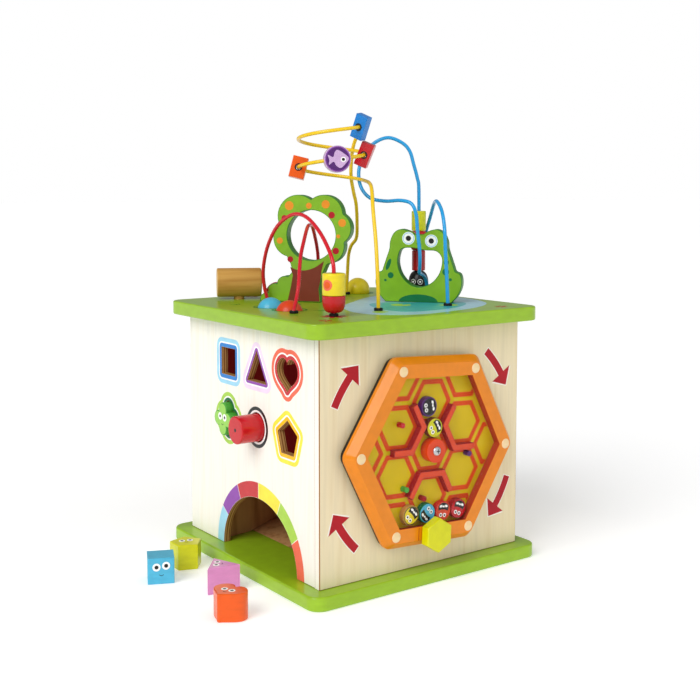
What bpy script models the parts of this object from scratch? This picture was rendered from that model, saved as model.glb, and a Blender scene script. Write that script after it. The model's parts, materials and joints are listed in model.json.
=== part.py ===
"""Wooden activity cube for a small child: a plywood box between two rounded plates.

One face sorts shapes and has a rainbow doorway, one carries a turning honeycomb maze, one has
gears and one has sliders. The top has a tree, a frog, bead wires, four balls and their mallet.
Metres, +Z up. The origin is the middle of the underside of the base plate, the maze faces -Y and
the shape sorter faces -X. Every moving piece has its origin on its joint's axis.
"""
from math import cos, pi, radians, sin, sqrt, tan

import bmesh
import bpy
from mathutils import Matrix, Vector
from mathutils.geometry import interpolate_bezier

MM = 0.001

# ---------------------------------------------------------------- driving sizes
BOX_WIDTH = 308 * MM          # outside of the plywood box, both ways
WALL_HEIGHT = 291 * MM        # between the two plates
WALL = 9 * MM                 # plywood thickness
OVERHANG = 21 * MM            # how far each plate stands out past the box
PLATE_CORNER = 18 * MM
BASE_THICKNESS = 17 * MM
TOP_THICKNESS = 18 * MM
GAP = 0.3 * MM                # between pieces that rest on each other
BATTEN = 20 * MM              # square posts in the inner corners

RAMP_START = 56 * MM          # from the box's sorter side to the ramp's foot
RAMP_SLOPE = radians(12)
GUIDE_HEIGHT = 62 * MM
GUIDE_LENGTH = 150 * MM
GUIDE_SPREAD = radians(9)
GUIDE_STEP = 14 * MM          # from the doorway's side to the left guide
GUIDE_GAP = 1.7 * MM          # between the right guide and the corner posts

# shape sorter: columns and rows of holes, measured across and up the face
COLUMNS = (-51 * MM, 18 * MM, 87 * MM)
UPPER_ROW = 52 * MM           # hole centres below the top of the box
LOWER_ROW = 125 * MM
TRIANGLE_DROP = 4 * MM        # its centroid sits below the row's line
PENTAGON_DROP = 2.5 * MM
SQUARE_HOLE = 34 * MM
TRIANGLE_SIDE = 44 * MM
HEART_WIDTH = 44.6 * MM
HEART_HEIGHT = 40 * MM
CLOVER_LEAF = 10.6 * MM       # radius of a leaf
CLOVER_REACH = 11.6 * MM      # leaf centre from the middle
ROUND_HOLE = 18.2 * MM
PENTAGON_RADIUS = 22 * MM
BLOCK_CLEARANCE = 1.0 * MM    # round every block
BLOCK_LENGTH = 32 * MM
PEG_BLOCK_LENGTH = 40 * MM    # the round block
CLOVER_OUT = 9.5 * MM         # how far each block stands out of its hole
PEG_BLOCK_OUT = 31 * MM
ARCH_CENTRE = 20 * MM
ARCH_HALF = 86 * MM
ARCH_HEIGHT = 77 * MM

# honeycomb maze wheel
WHEEL_RADIUS = 131 * MM       # to the corners of the hexagon
WHEEL_TURN = radians(-3)      # how it stands at rest
WHEEL_GAP = 2 * MM
WHEEL_BOARD = 7 * MM
FRAME_DEPTH = 14 * MM
FRAME_INNER = 103 * MM        # corner radius of the window opening
FRAME_CHAMFER = 9 * MM
WINDOW = 2 * MM
WINDOW_LIP = 3 * MM
CELL_PITCH = 58 * MM          # between the middles of neighbouring cells
RIDGE_WIDTH = 8 * MM
COUNTER_RADIUS = 12 * MM
COUNTER_THICKNESS = 8 * MM
HUB_RADIUS = 14.5 * MM
AXLE = 3 * MM
KNOB_RADIUS = 21 * MM
KNOB_THICKNESS = 13 * MM

# gears on the right face and sliders on the back face
TOOTH_MODULE = 5 * MM         # pitch diameter for each tooth
TOOTH_HEIGHT = 2.8 * MM
BACKLASH = 1.0 * MM
GEAR_THICKNESS = 12 * MM
GEAR_TEETH = (18, 12, 15)
FIRST_GEAR = (-62 * MM, 116 * MM)      # across, and below the top of the box
MESH_ANGLES = (radians(-25), radians(35))
PIN_RADIUS = 8 * MM
PIN_HEAD = 14 * MM
SLOT_LENGTH = 192 * MM
SLOT_WIDTH = 12 * MM
SLOT_DROP = 120 * MM
SLIDER_REST = (-55 * MM, 35 * MM)
SLIDER_KNOB = 15 * MM

# top: wooden figures, wires, balls and mallet
FIGURE_THICKNESS = 18 * MM
FIGURE_FACING = radians(-50)
TREE_FOOT = (-44.5 * MM, 42 * MM)
FROG_FOOT = (75.5 * MM, -48.5 * MM)
WIRE_RADIUS = 2.4 * MM
WIRE_DEPTH = 12 * MM          # how deep each wire stands in the top plate
WIRE_RISE = 3 * MM            # it goes straight up this far before it bends
BEAD_CLEARANCE = 1 * MM       # round the wire
FERRULE = 4.5                 # rubber ferrule under the lowest bead, in millimetres
COIL_BLOCK_THICK = 13         # block beads on the coil, along the wire, in millimetres
FISH_RADIUS = 17 * MM
FISH_THICK = 14 * MM
FISH_BORE = 5.1 * MM
BALL_RADIUS = 17 * MM
BALL_CLEARANCE = 1 * MM
MALLET_HOLE = (-90 * MM, 133 * MM)
MALLET_TURN = radians(-27)
MALLET_LENGTH = 60 * MM
MALLET_RADIUS = 19.5 * MM
HANDLE_RADIUS = 7 * MM
HANDLE_LENGTH = 150 * MM
TURNING = 0.6 * MM            # clearance round anything that turns or lifts out

# worked out from the sizes above
HALF = BOX_WIDTH / 2
PLATE = BOX_WIDTH + 2 * OVERHANG
WALL_TOP = BASE_THICKNESS + WALL_HEIGHT
TOP = WALL_TOP + TOP_THICKNESS
INSIDE = HALF - WALL
WHEEL_UP = BASE_THICKNESS + WALL_HEIGHT / 2
FRONT, LEFT, RIGHT, BACK = 0, -pi / 2, pi / 2, pi


# ---------------------------------------------------------------- building blocks
def material(name, colour, roughness=0.4, metallic=0.0):
    """A painted, wooden or metal surface."""
    surface = bpy.data.materials.new(name)
    surface.use_nodes = True
    shader = surface.node_tree.nodes["Principled BSDF"]
    shader.inputs["Base Color"].default_value = (*colour, 1)
    shader.inputs["Roughness"].default_value = roughness
    shader.inputs["Metallic"].default_value = metallic
    return surface


def finish(name, shape, surface, place=None, parent=None):
    """Turn a bmesh into a named object with its own material."""
    bmesh.ops.recalc_face_normals(shape, faces=shape.faces[:])
    mesh = bpy.data.meshes.new(name)
    shape.to_mesh(mesh)
    shape.free()
    mesh.shade_smooth()
    mesh.set_sharp_from_angle(angle=radians(35))
    mesh.materials.append(surface)
    piece = bpy.data.objects.new(name, mesh)
    bpy.context.scene.collection.objects.link(piece)
    piece.parent = parent
    if place is not None:
        piece.matrix_local = place
    return piece


def slab(loops, bottom, top):
    """A flat solid from closed outlines in XY; the outlines after the first are holes."""
    shape = bmesh.new()
    for loop in loops:
        corners = [shape.verts.new((x, y, bottom)) for x, y in loop]
        for start, end in zip(corners, corners[1:] + corners[:1]):
            shape.edges.new((start, end))
    bmesh.ops.triangle_fill(shape, use_beauty=True, use_dissolve=False, edges=shape.edges[:])
    grown = bmesh.ops.extrude_face_region(shape, geom=shape.faces[:])
    raised = [item for item in grown["geom"] if isinstance(item, bmesh.types.BMVert)]
    bmesh.ops.translate(shape, verts=raised, vec=(0, 0, top - bottom))
    return shape


def turned(profile, steps):
    """A solid of revolution about Z from (radius, height) points; radius 0 closes an end."""
    shape = bmesh.new()
    rings = []
    for radius, height in profile:
        if radius == 0:
            rings.append([shape.verts.new((0, 0, height))])
            continue
        angles = [2 * pi * step / steps for step in range(steps)]
        rings.append([shape.verts.new((radius * cos(a), radius * sin(a), height)) for a in angles])
    pairs = list(zip(rings, rings[1:]))
    if profile[0][0] and profile[-1][0]:
        pairs.append((rings[-1], rings[0]))
    for lower, upper in pairs:
        for step in range(steps):
            after = (step + 1) % steps
            corners = [lower[step % len(lower)], lower[after % len(lower)],
                       upper[after % len(upper)], upper[step % len(upper)]]
            shape.faces.new(dict.fromkeys(corners))
    return shape


def cutter(name, shape, place=None, parent=None):
    """A guide solid that only cuts or joins others."""
    guide = finish(name, shape, PLYWOOD, place, parent)
    guide.hide_render = True
    guide.display_type = "WIRE"
    return guide


def boolean(piece, other, operation):
    """Cut a guide solid out of a piece, or join it on."""
    change = piece.modifiers.new(operation.title(), "BOOLEAN")
    change.operation = operation
    change.object = other


def holder(name, place, parent=None):
    """An empty that carries the pieces that move together."""
    empty = bpy.data.objects.new(name, None)
    bpy.context.scene.collection.objects.link(empty)
    empty.parent = parent
    empty.matrix_local = place
    return empty


def on_face(facing, across=0.0, up=0.0, out=0.0):
    """A frame on one face of the box: X across, Y up and Z straight out."""
    turn = Matrix.Rotation(facing, 4, "Z")
    side = Matrix.Translation((0, -HALF, 0))
    stand = Matrix.Rotation(pi / 2, 4, "X")
    return turn @ side @ stand @ Matrix.Translation((across, up, out))


def standing(foot):
    """The frame of a wooden figure: X along the board, Y up, Z out of its front."""
    move = Matrix.Translation((*foot, TOP + GAP))
    return move @ Matrix.Rotation(FIGURE_FACING, 4, "Z") @ Matrix.Rotation(pi / 2, 4, "X")


# ---------------------------------------------------------------- outlines
def circle(radius, steps, middle=(0, 0), start=0.0):
    angles = [start + 2 * pi * step / steps for step in range(steps)]
    return [(middle[0] + radius * cos(a), middle[1] + radius * sin(a)) for a in angles]


def rounded_square(width, corner, steps=5):
    reach = width / 2 - corner
    points = []
    for quarter, (sx, sy) in enumerate(((1, 1), (-1, 1), (-1, -1), (1, -1))):
        for step in range(steps + 1):
            a = (quarter + step / steps) * pi / 2
            points.append((sx * reach + corner * cos(a), sy * reach + corner * sin(a)))
    return points


def moved(outline, x, y):
    return [(px + x, py + y) for px, py in outline]


def lobes(circles, middle, start, end, steps):
    """The outline round a cluster of circles, seen from a point that they all surround."""
    points = []
    for step in range(steps + 1):
        a = start + (end - start) * step / steps
        reach = 0
        for x, y, radius in circles:
            along = (x - middle[0]) * cos(a) + (y - middle[1]) * sin(a)
            aside = (y - middle[1]) * cos(a) - (x - middle[0]) * sin(a)
            if abs(aside) < radius:
                reach = max(reach, along + sqrt(radius * radius - aside * aside))
        points.append((middle[0] + reach * cos(a), middle[1] + reach * sin(a)))
    return points


def clover(inset=0.0):
    leaf = CLOVER_LEAF - inset
    leaves = [(CLOVER_REACH * cos(a), CLOVER_REACH * sin(a), leaf) for a in (0, pi / 2, pi, -pi / 2)]
    return lobes(leaves, (0, 0), 0, 2 * pi, 40)[:-1]


def heart(inset=0.0):
    """Two lobes and a point, scaled to the heart's width and height."""
    steps = 28
    raw = []
    for step in range(steps):
        t = 2 * pi * step / steps
        raw.append((sin(t) ** 3, 13 * cos(t) - 3 * cos(2 * t) - 2 * cos(3 * t) - cos(4 * t)))
    low = min(y for x, y in raw)
    high = max(y for x, y in raw)
    wide = HEART_WIDTH / 2 - inset
    tall = HEART_HEIGHT - 2 * inset
    return [(x * wide, ((y - low) / (high - low) - 0.5) * tall) for x, y in raw]


def polygon(sides, radius, inset=0.0):
    """A regular polygon standing on a flat side."""
    shorter = radius - inset / cos(pi / sides)
    return circle(shorter, sides, start=pi / 2)


def square(inset=0.0):
    half = SQUARE_HOLE / 2 - inset
    return [(half, half), (-half, half), (-half, -half), (half, -half)]


def triangle(inset=0.0):
    return polygon(3, TRIANGLE_SIDE / sqrt(3), inset)


def pentagon(inset=0.0):
    return polygon(5, PENTAGON_RADIUS, inset)


def disc(inset=0.0):
    return circle(ROUND_HOLE - inset, 24)


def smooth_path(points, steps, closed=False):
    """Points along a smooth curve through hand-chosen ones."""
    path = [Vector(point) for point in points]
    count = len(path)
    last = count if closed else count - 1
    result = []
    for index in range(last):
        here = path[index]
        there = path[(index + 1) % count]
        before = path[index - 1] if index or closed else here
        after = path[(index + 2) % count] if index + 2 < count or closed else there
        leave = here + (there - before) / 6
        arrive = there - (after - here) / 6
        result += interpolate_bezier(here, leave, arrive, there, steps + 1)[:-1]
    if not closed:
        result.append(path[-1])
    return result


# ---------------------------------------------------------------- the box
def plates():
    base = slab([rounded_square(PLATE, PLATE_CORNER)], 0, BASE_THICKNESS)
    finish("base_plate", base, GREEN_PAINT)
    loops = [rounded_square(PLATE, PLATE_CORNER)]
    loops += [circle(BALL_RADIUS + BALL_CLEARANCE, 20, spot[:2]) for name, spot, paint in BALLS]
    loops.append(circle(HANDLE_RADIUS + TURNING, 12, MALLET_HOLE))
    loops += [circle(WIRE_RADIUS + GAP, 8, foot) for foot in wire_feet()]
    finish("top_plate", slab(loops, WALL_TOP, TOP), GREEN_PAINT)


def sorter_holes(inset=0.0):
    """Each hole or block outline by name, with its middle across and up the face."""
    upper = WALL_TOP - UPPER_ROW
    lower = WALL_TOP - LOWER_ROW
    return {
        "square": (square(inset), COLUMNS[0], upper),
        "triangle": (triangle(inset), COLUMNS[1], upper - TRIANGLE_DROP),
        "heart": (heart(inset), COLUMNS[2], upper),
        "clover": (clover(inset), COLUMNS[0], lower),
        "round": (disc(inset), COLUMNS[1], lower),
        "pentagon": (pentagon(inset), COLUMNS[2], lower - PENTAGON_DROP),
    }


def panels():
    bottom = BASE_THICKNESS + GAP
    top = WALL_TOP - GAP
    inner = INSIDE - GAP
    steps = 20
    arch = []
    for step in range(steps + 1):
        a = pi - pi * step / steps
        arch.append((ARCH_CENTRE + ARCH_HALF * cos(a), BASE_THICKNESS + ARCH_HEIGHT * sin(a)))
    arch[0] = (ARCH_CENTRE - ARCH_HALF, bottom)
    arch[-1] = (ARCH_CENTRE + ARCH_HALF, bottom)
    outer = [(inner, bottom), (inner, top), (-HALF, top), (-HALF, bottom)] + arch
    loops = [outer] + [moved(outline, x, y) for outline, x, y in sorter_holes().values()]
    finish("sorter_panel", slab(loops, -WALL, 0), PALE_PAINT, on_face(LEFT))

    wide = [(HALF, bottom), (HALF, top), (-HALF, top), (-HALF, bottom)]
    axle_hole = circle(AXLE + GAP, 10, (0, WHEEL_UP))
    finish("maze_panel", slab([wide, axle_hole], -WALL, 0), PLYWOOD, on_face(FRONT))

    end = SLOT_LENGTH / 2 - SLOT_WIDTH / 2
    slot = [(end + SLOT_WIDTH / 2 * cos(a), WALL_TOP - SLOT_DROP + SLOT_WIDTH / 2 * sin(a))
            for a in (radians(step) for step in range(-90, 91, 30))]
    slot += [(-x, 2 * (WALL_TOP - SLOT_DROP) - y) for x, y in slot]
    behind = [(inner, bottom), (inner, top), (-HALF, top), (-HALF, bottom)]
    finish("back_panel", slab([behind, slot], -WALL, 0), PLYWOOD, on_face(BACK))

    narrow = [(inner, bottom), (inner, top), (-inner, top), (-inner, bottom)]
    side = finish("right_panel", slab([narrow], -WALL, 0), PLYWOOD, on_face(RIGHT))
    head = GEAR_THICKNESS + 3 * MM
    for number, (x, y, teeth) in enumerate(gear_places()):
        profile = [(0, -WALL / 2), (PIN_RADIUS, -WALL / 2), (PIN_RADIUS, head),
                   (PIN_HEAD, head), (PIN_HEAD, head + 4 * MM), (0, head + 4 * MM)]
        pin = cutter(f"gear_pin_{number + 1}", turned(profile, 16), on_face(RIGHT, x, y))
        boolean(side, pin, "UNION")


def inside():
    """Corner posts, the ramp that brings things to the doorway, and its two guides."""
    post = INSIDE - GAP - BATTEN / 2
    half = BATTEN / 2
    outline = [(half, half), (-half, half), (-half, -half), (half, -half)]
    corners = {"left_front": (-1, -1), "right_front": (1, -1), "right_back": (1, 1),
               "left_back": (-1, 1)}
    for name, (sx, sy) in corners.items():
        shape = slab([moved(outline, sx * post, sy * post)], BASE_THICKNESS + GAP, WALL_TOP - GAP)
        finish(f"corner_post_{name}", shape, PLYWOOD)

    floor = BASE_THICKNESS + GAP
    start = -HALF + RAMP_START
    end = INSIDE - GAP
    rise = (end - start) * tan(RAMP_SLOPE)
    under = WALL / cos(RAMP_SLOPE)
    lip = under / tan(RAMP_SLOPE)
    side_view = [(start, floor + GAP), (start + lip, floor + GAP), (end, floor + rise - under),
                 (end, floor + rise)]
    width = INSIDE - 2 * GAP - BATTEN
    upright = Matrix.Rotation(pi / 2, 4, "X")
    finish("ramp", slab([side_view], -width, width), PLYWOOD, upright)

    by_posts = INSIDE - GAP - BATTEN - GUIDE_GAP - WALL
    for name, side, reach in (("guide_left", 1, ARCH_HALF - ARCH_CENTRE + GUIDE_STEP),
                              ("guide_right", -1, by_posts)):
        foot = start + INSIDE - GAP
        rise = (GUIDE_LENGTH - foot) * tan(RAMP_SLOPE)
        view = [(0, floor), (foot - 3 * MM, floor), (foot - 3 * MM, floor + 2 * GAP),
                (GUIDE_LENGTH, floor + rise + 1.5 * MM),
                (GUIDE_LENGTH, floor + rise + GUIDE_HEIGHT), (0, floor + GUIDE_HEIGHT)]
        spread = GUIDE_SPREAD if side > 0 else radians(1)
        start_x = -INSIDE + 2 * GAP + WALL * sin(spread)
        place = Matrix.Translation((start_x, side * reach, 0))
        place = place @ Matrix.Rotation(side * spread, 4, "Z") @ upright
        spans = (-WALL, 0) if side > 0 else (0, WALL)
        finish(name, slab([view], *spans), PLYWOOD, place)


# ---------------------------------------------------------------- shape sorter blocks
LOOSE_BLOCKS = (
    # name, distance from the sorter face, position along it, turn
    ("square", 109 * MM, 30 * MM, radians(-24)),
    ("pentagon", 60 * MM, 57 * MM, radians(-20)),
    ("triangle", 67 * MM, -43 * MM, radians(-9)),
    ("heart", 104 * MM, -125 * MM, radians(-70)),
)


def blocks():
    shapes = sorter_holes(BLOCK_CLEARANCE)
    for name, away, along, turn in LOOSE_BLOCKS:
        outline = shapes[name][0]
        place = Matrix.Translation((-HALF - away, along, 0)) @ Matrix.Rotation(turn, 4, "Z")
        if name == "square":
            half = SQUARE_HOLE / 2 - BLOCK_CLEARANCE
            place = place @ Matrix.Translation((0, 0, half)) @ Matrix.Rotation(pi / 2, 4, "X")
            shape = slab([outline], -BLOCK_LENGTH / 2, BLOCK_LENGTH / 2)
        else:
            shape = slab([outline], 0, BLOCK_LENGTH)
        finish(f"block_{name}", shape, PAINTS[name], place)
    for name, length, out in (("clover", BLOCK_LENGTH, CLOVER_OUT),
                              ("round", PEG_BLOCK_LENGTH, PEG_BLOCK_OUT)):
        outline, x, y = shapes[name]
        shape = slab([outline], -length, 0)
        finish(f"block_{name}", shape, PAINTS[name], on_face(LEFT, x, y, out))


# ---------------------------------------------------------------- maze wheel
def hexagon(radius, start=0.0):
    return circle(radius, 6, start=start)


def ridge(turn):
    """One raised wall of the maze: a spoke, a side of the middle cell and a second spoke."""
    corner = CELL_PITCH / sqrt(3)
    route = [(2 * corner * 0.96, turn + radians(120)), (corner, turn + radians(120)),
             (corner, turn + radians(180)), (2 * corner * 0.9, turn + radians(180))]
    line = [Vector((r * cos(a), r * sin(a))) for r, a in route]
    half = RIDGE_WIDTH / 2
    sides = ([], [])
    for index, point in enumerate(line):
        before = (point - line[index - 1]).normalized() if index else None
        after = (line[index + 1] - point).normalized() if index + 1 < len(line) else None
        first = before or after
        second = after or before
        bend = (first.orthogonal() + second.orthogonal()).normalized()
        reach = half / bend.dot(first.orthogonal())
        sides[0].append(tuple(point + bend * reach))
        sides[1].append(tuple(point - bend * reach))
    return sides[0] + sides[1][::-1]


def maze_wheel():
    place = on_face(FRONT, 0, WHEEL_UP, 0) @ Matrix.Rotation(WHEEL_TURN, 4, "Z")
    wheel = holder("wheel_axis", place)
    back = WHEEL_GAP
    face = back + WHEEL_BOARD
    front = face + FRAME_DEPTH
    window_back = front - WINDOW_LIP - WINDOW
    hole = circle(AXLE + GAP, 10)

    board = finish("wheel_board", slab([hexagon(WHEEL_RADIUS - 1 * MM), hole], back, face),
                   MAZE_YELLOW, parent=wheel)
    for number in range(3):
        outline = ridge(-radians(120) * number)
        wall = slab([outline], face - WHEEL_BOARD / 2, window_back - GAP)
        boolean(board, cutter(f"ridge_{number + 1}", wall, parent=wheel), "UNION")

    rebate = FRAME_INNER + 3 * MM
    frame = bmesh.new()
    levels = [(WHEEL_RADIUS, face + GAP), (WHEEL_RADIUS, front - FRAME_CHAMFER),
              (WHEEL_RADIUS - FRAME_CHAMFER, front), (FRAME_INNER, front),
              (FRAME_INNER, front - WINDOW_LIP + GAP), (rebate, front - WINDOW_LIP + GAP),
              (rebate, face + GAP)]
    rings = [[frame.verts.new((x, y, z)) for x, y in hexagon(radius)] for radius, z in levels]
    for lower, upper in zip(rings, rings[1:] + rings[:1]):
        for side in range(6):
            after = (side + 1) % 6
            frame.faces.new((lower[side], lower[after], upper[after], upper[side]))
    finish("wheel_frame", frame, ORANGE_PAINT, parent=wheel)

    loops = [hexagon(rebate - GAP), circle(HUB_RADIUS + TURNING, 24)]
    finish("wheel_window", slab(loops, window_back, front - WINDOW_LIP), CLEAR, parent=wheel)

    hub = turned([(AXLE + GAP, face + GAP), (HUB_RADIUS, face + GAP), (HUB_RADIUS, front - 1.5 * MM),
                  (HUB_RADIUS - 1.5 * MM, front), (AXLE + GAP, front)], 24)
    finish("wheel_hub", hub, RED_ORANGE, parent=wheel)

    inner = -WALL
    screw = turned([(0, inner - 9 * MM), (AXLE, inner - 9 * MM), (AXLE, front + GAP),
                    (5.5 * MM, front + GAP), (5 * MM, front + 2 * MM), (0, front + 3 * MM)], 12)
    finish("axle_screw", screw, STEEL, on_face(FRONT, 0, WHEEL_UP))
    nut = slab([hexagon(6 * MM), circle(AXLE + GAP, 12)], inner - 6 * MM, inner - GAP)
    finish("axle_nut", nut, STEEL, on_face(FRONT, 0, WHEEL_UP))

    middle = (WHEEL_RADIUS - FRAME_CHAMFER / 2 + FRAME_INNER) / 2 * cos(pi / 6)
    knob_place = Matrix.Translation((0, -middle, 0))
    knob = slab([hexagon(KNOB_RADIUS, pi / 6)], front + GAP, front + KNOB_THICKNESS)
    finish("wheel_knob", knob, LIME, knob_place, wheel)

    low = -FRAME_INNER * cos(pi / 6) + COUNTER_RADIUS + 1.2 * MM
    across = 2 * COUNTER_RADIUS + 0.8 * MM
    spots = {
        "purple": (-10 * MM, 53 * MM), "lime": (0.2 * MM, 27 * MM),
        "yellow": (-1.22 * across, low), "blue": (-0.22 * across, low),
        "orange": (0.78 * across, low), "red": (1.78 * across, low),
    }
    for name, (x, y) in spots.items():
        shape = slab([circle(COUNTER_RADIUS, 18)], face + GAP, face + GAP + COUNTER_THICKNESS)
        finish(f"counter_{name}", shape, PAINTS[name], Matrix.Translation((x, y, 0)), wheel)


# ---------------------------------------------------------------- gears and sliders
def gear_places():
    """Middle across and up the face, and the number of teeth, of each gear in the train."""
    x, drop = FIRST_GEAR
    y = WALL_TOP - drop
    places = [(x, y, GEAR_TEETH[0])]
    for angle, before, teeth in zip(MESH_ANGLES, GEAR_TEETH, GEAR_TEETH[1:]):
        reach = (before + teeth) * TOOTH_MODULE / 2
        x += reach * cos(angle)
        y += reach * sin(angle)
        places.append((x, y, teeth))
    return places


def gears():
    """Wooden gears; the phase of each puts its gap on its neighbour's tooth."""
    phase = MESH_ANGLES[0]
    for number, (x, y, teeth) in enumerate(gear_places()):
        if number:
            contact = MESH_ANGLES[number - 1]
            before = GEAR_TEETH[number - 1]
            turn_before = (contact - phase) * before
            phase = contact + pi - (pi - turn_before) / teeth
        pitch = teeth * TOOTH_MODULE / 2 - BACKLASH
        steps = teeth * 6
        outline = []
        for step in range(steps):
            a = 2 * pi * step / steps
            radius = pitch + TOOTH_HEIGHT * cos(teeth * a)
            outline.append((radius * cos(a + phase), radius * sin(a + phase)))
        bore = circle(PIN_RADIUS + TURNING, 16)
        shape = slab([outline, bore], 2 * MM, 2 * MM + GEAR_THICKNESS)
        colour = ("red", "yellow", "blue")[number]
        finish(f"gear_{number + 1}", shape, PAINTS[colour], on_face(RIGHT, x, y))


def sliders():
    neck = SLOT_WIDTH / 2 - 0.8 * MM
    for number, x in enumerate(SLIDER_REST):
        profile = [(0, -WALL - 6 * MM), (neck + 5 * MM, -WALL - 6 * MM),
                   (neck + 5 * MM, -WALL - 1 * MM), (neck, -WALL - 1 * MM), (neck, 1 * MM),
                   (SLIDER_KNOB, 1 * MM), (SLIDER_KNOB, 11 * MM), (SLIDER_KNOB - 4 * MM, 15 * MM),
                   (0, 15 * MM)]
        colour = ("orange", "purple")[number]
        place = on_face(BACK, x, WALL_TOP - SLOT_DROP)
        finish(f"slider_{number + 1}", turned(profile, 18), PAINTS[colour], place)


# ---------------------------------------------------------------- wooden figures on top
def tree():
    """Leafy crown round a hole, a trunk below it and a bush at its foot."""
    crown = [(x * MM, y * MM, r * MM) for x, y, r in (
        (-8, 113, 28), (27, 115, 26), (42, 97, 22), (32, 74, 23), (-17, 84, 25), (0, 66, 24),
        (20, 66, 20))]
    middle = (10 * MM, 88 * MM)
    outline = [(23 * MM, 0), (21 * MM, 18 * MM), (25 * MM, 36 * MM)]
    outline += lobes(crown, middle, radians(-62), radians(232), 56)
    outline += [(-16 * MM, 40 * MM)]
    for x, y, radius, start, end in ((-26, 22, 12, 70, 150), (-40, 13, 11, 75, 150),
                                     (-51, 2, 10, 80, 168)):
        for step in range(5):
            a = radians(start + (end - start) * step / 4)
            outline.append(((x + radius * cos(a)) * MM, (y + radius * sin(a)) * MM))
    outline += [(-61 * MM, 0)]
    hole = circle(33 * MM, 32, middle)
    shape = slab([outline, hole], -FIGURE_THICKNESS, 0)
    finish("tree", shape, LEAF_GREEN, standing(TREE_FOOT))


def frog():
    """A sitting frog: two eye bumps, a wide body with haunches and a hole for its mouth."""
    half = [(6, 89), (13, 93.5), (24, 96), (33, 91), (38, 80), (39, 70), (43, 58), (47, 46),
            (49, 41), (55, 38), (57.5, 30), (57, 20), (52, 9), (44, 0)]
    right = [(x * MM, y * MM) for x, y in half]
    left = [(-x, y) for x, y in right[::-1]]
    mouth = [(-22, 70), (-9, 71.5), (8, 68.5), (23, 67.5), (30.5, 60), (31, 50), (27, 37),
             (17, 25.5), (2, 20), (-12, 24), (-23, 36), (-27.5, 50), (-26.5, 62)]
    smooth = smooth_path([(x * MM, y * MM, 0) for x, y in mouth], 3, closed=True)
    hole = [(point.x, point.y) for point in smooth]
    shape = slab([right[::-1] + left[::-1], hole], -FIGURE_THICKNESS, 0)
    finish("frog", shape, LEAF_GREEN, standing(FROG_FOOT))


# ---------------------------------------------------------------- bead wires
HELIX_MIDDLE = Vector((-18.6, 13.5, 0))
HELIX_RADIUS = 44
HELIX_START, HELIX_END = -16, 664         # degrees round from +X
HELIX_BOTTOM, HELIX_TOP = 160, 229        # above the top plate


def helix(angle):
    """A point of the coiled wire and its direction there, in millimetres above the plate."""
    share = (angle - HELIX_START) / (HELIX_END - HELIX_START)
    a = radians(angle)
    height = HELIX_BOTTOM + (HELIX_TOP - HELIX_BOTTOM) * share
    climb = (HELIX_TOP - HELIX_BOTTOM) / radians(HELIX_END - HELIX_START)
    point = HELIX_MIDDLE + Vector((HELIX_RADIUS * cos(a), HELIX_RADIUS * sin(a), height))
    along = Vector((-HELIX_RADIUS * sin(a), HELIX_RADIUS * cos(a), climb)).normalized()
    return point, along


# hand-chosen points of each wire, in millimetres; heights are above the top plate
WIRES = {
    "wire_red_outer": [
        (-81, 74, 0), (-86, 74, 22), (-91, 68, 44), (-95, 52, 72), (-97, 28, 98), (-98, 0, 113),
        (-98, -24, 118), (-99, -50, 113), (-101, -78, 97), (-105, -102, 78), (-107.5, -114, 64),
        (-108, -117, 53), (-108, -117, 30), (-108, -117, 0)],
    "wire_red_inner": [
        (-128, -62, 0), (-118, -52, 15), (-110, -45, 31), (-102, -35, 49), (-92, -23, 67),
        (-75, -5, 85), (-58, 14, 98), (-46, 27, 102), (-33, 39, 99), (-19, 53, 84),
        (-7, 65, 65), (-1, 72, 45), (3, 77, 22), (4, 79, 0)],
    "wire_yellow": [
        (-28, -98, 0), (-28, -97, 32), (-22, -85, 82), (-13, -67, 123), (-2, -50, 146),
        (11, -28, 156)],
    "wire_blue_tall": [
        (101, -18, 0), (101, -18, 60), (101, -18, 145), (99, -17, 163), (94, -15, 182),
        (89, -13, 199), (81, -7, 210), (66, 4, 217), (51, 15, 210), (39, 22, 194), (31, 23, 172),
        (29, 15, 151), (32, -1, 137), (41, -22, 133), (49, -44, 134), (54, -60, 130),
        (56, -67, 117), (57, -69, 96), (60, -70, 70), (63, -67, 54), (69, -59, 43), (75, -52, 39),
        (84, -47, 36), (92, -43, 31), (97, -41, 20), (98, -40, 0)],
    "wire_blue_small": [
        (79, -104, 0), (78, -103, 33), (77, -101, 71), (78, -98, 97), (83, -87, 119),
        (93, -66, 132), (107, -43, 130), (118, -22, 112), (124, -4, 86), (127, 9, 50),
        (128, 14, 24), (128, 14, 0)],
}
YELLOW_RETURN = [
    (14, -14, 230), (23, 4, 228), (26, 19, 220), (26, 30, 201), (29, 38, 169), (35, 41, 147),
    (43, 45, 127), (54, 58, 100), (60, 68, 81), (60, 80, 70), (64, 92, 55), (67, 99, 27),
    (66, 100, 0)]


def wire_route(name):
    route = list(WIRES[name])
    if name == "wire_yellow":
        route += [tuple(helix(angle)[0]) for angle in range(HELIX_START, HELIX_END + 1, 20)]
        route += YELLOW_RETURN
    return [Vector((x * MM, y * MM, TOP + z * MM)) for x, y, z in route]


def wire_feet():
    """Where the two ends of every wire stand in the top plate."""
    return [tuple(wire_route(name)[end][:2]) for name in WIRES for end in (0, -1)]


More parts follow.
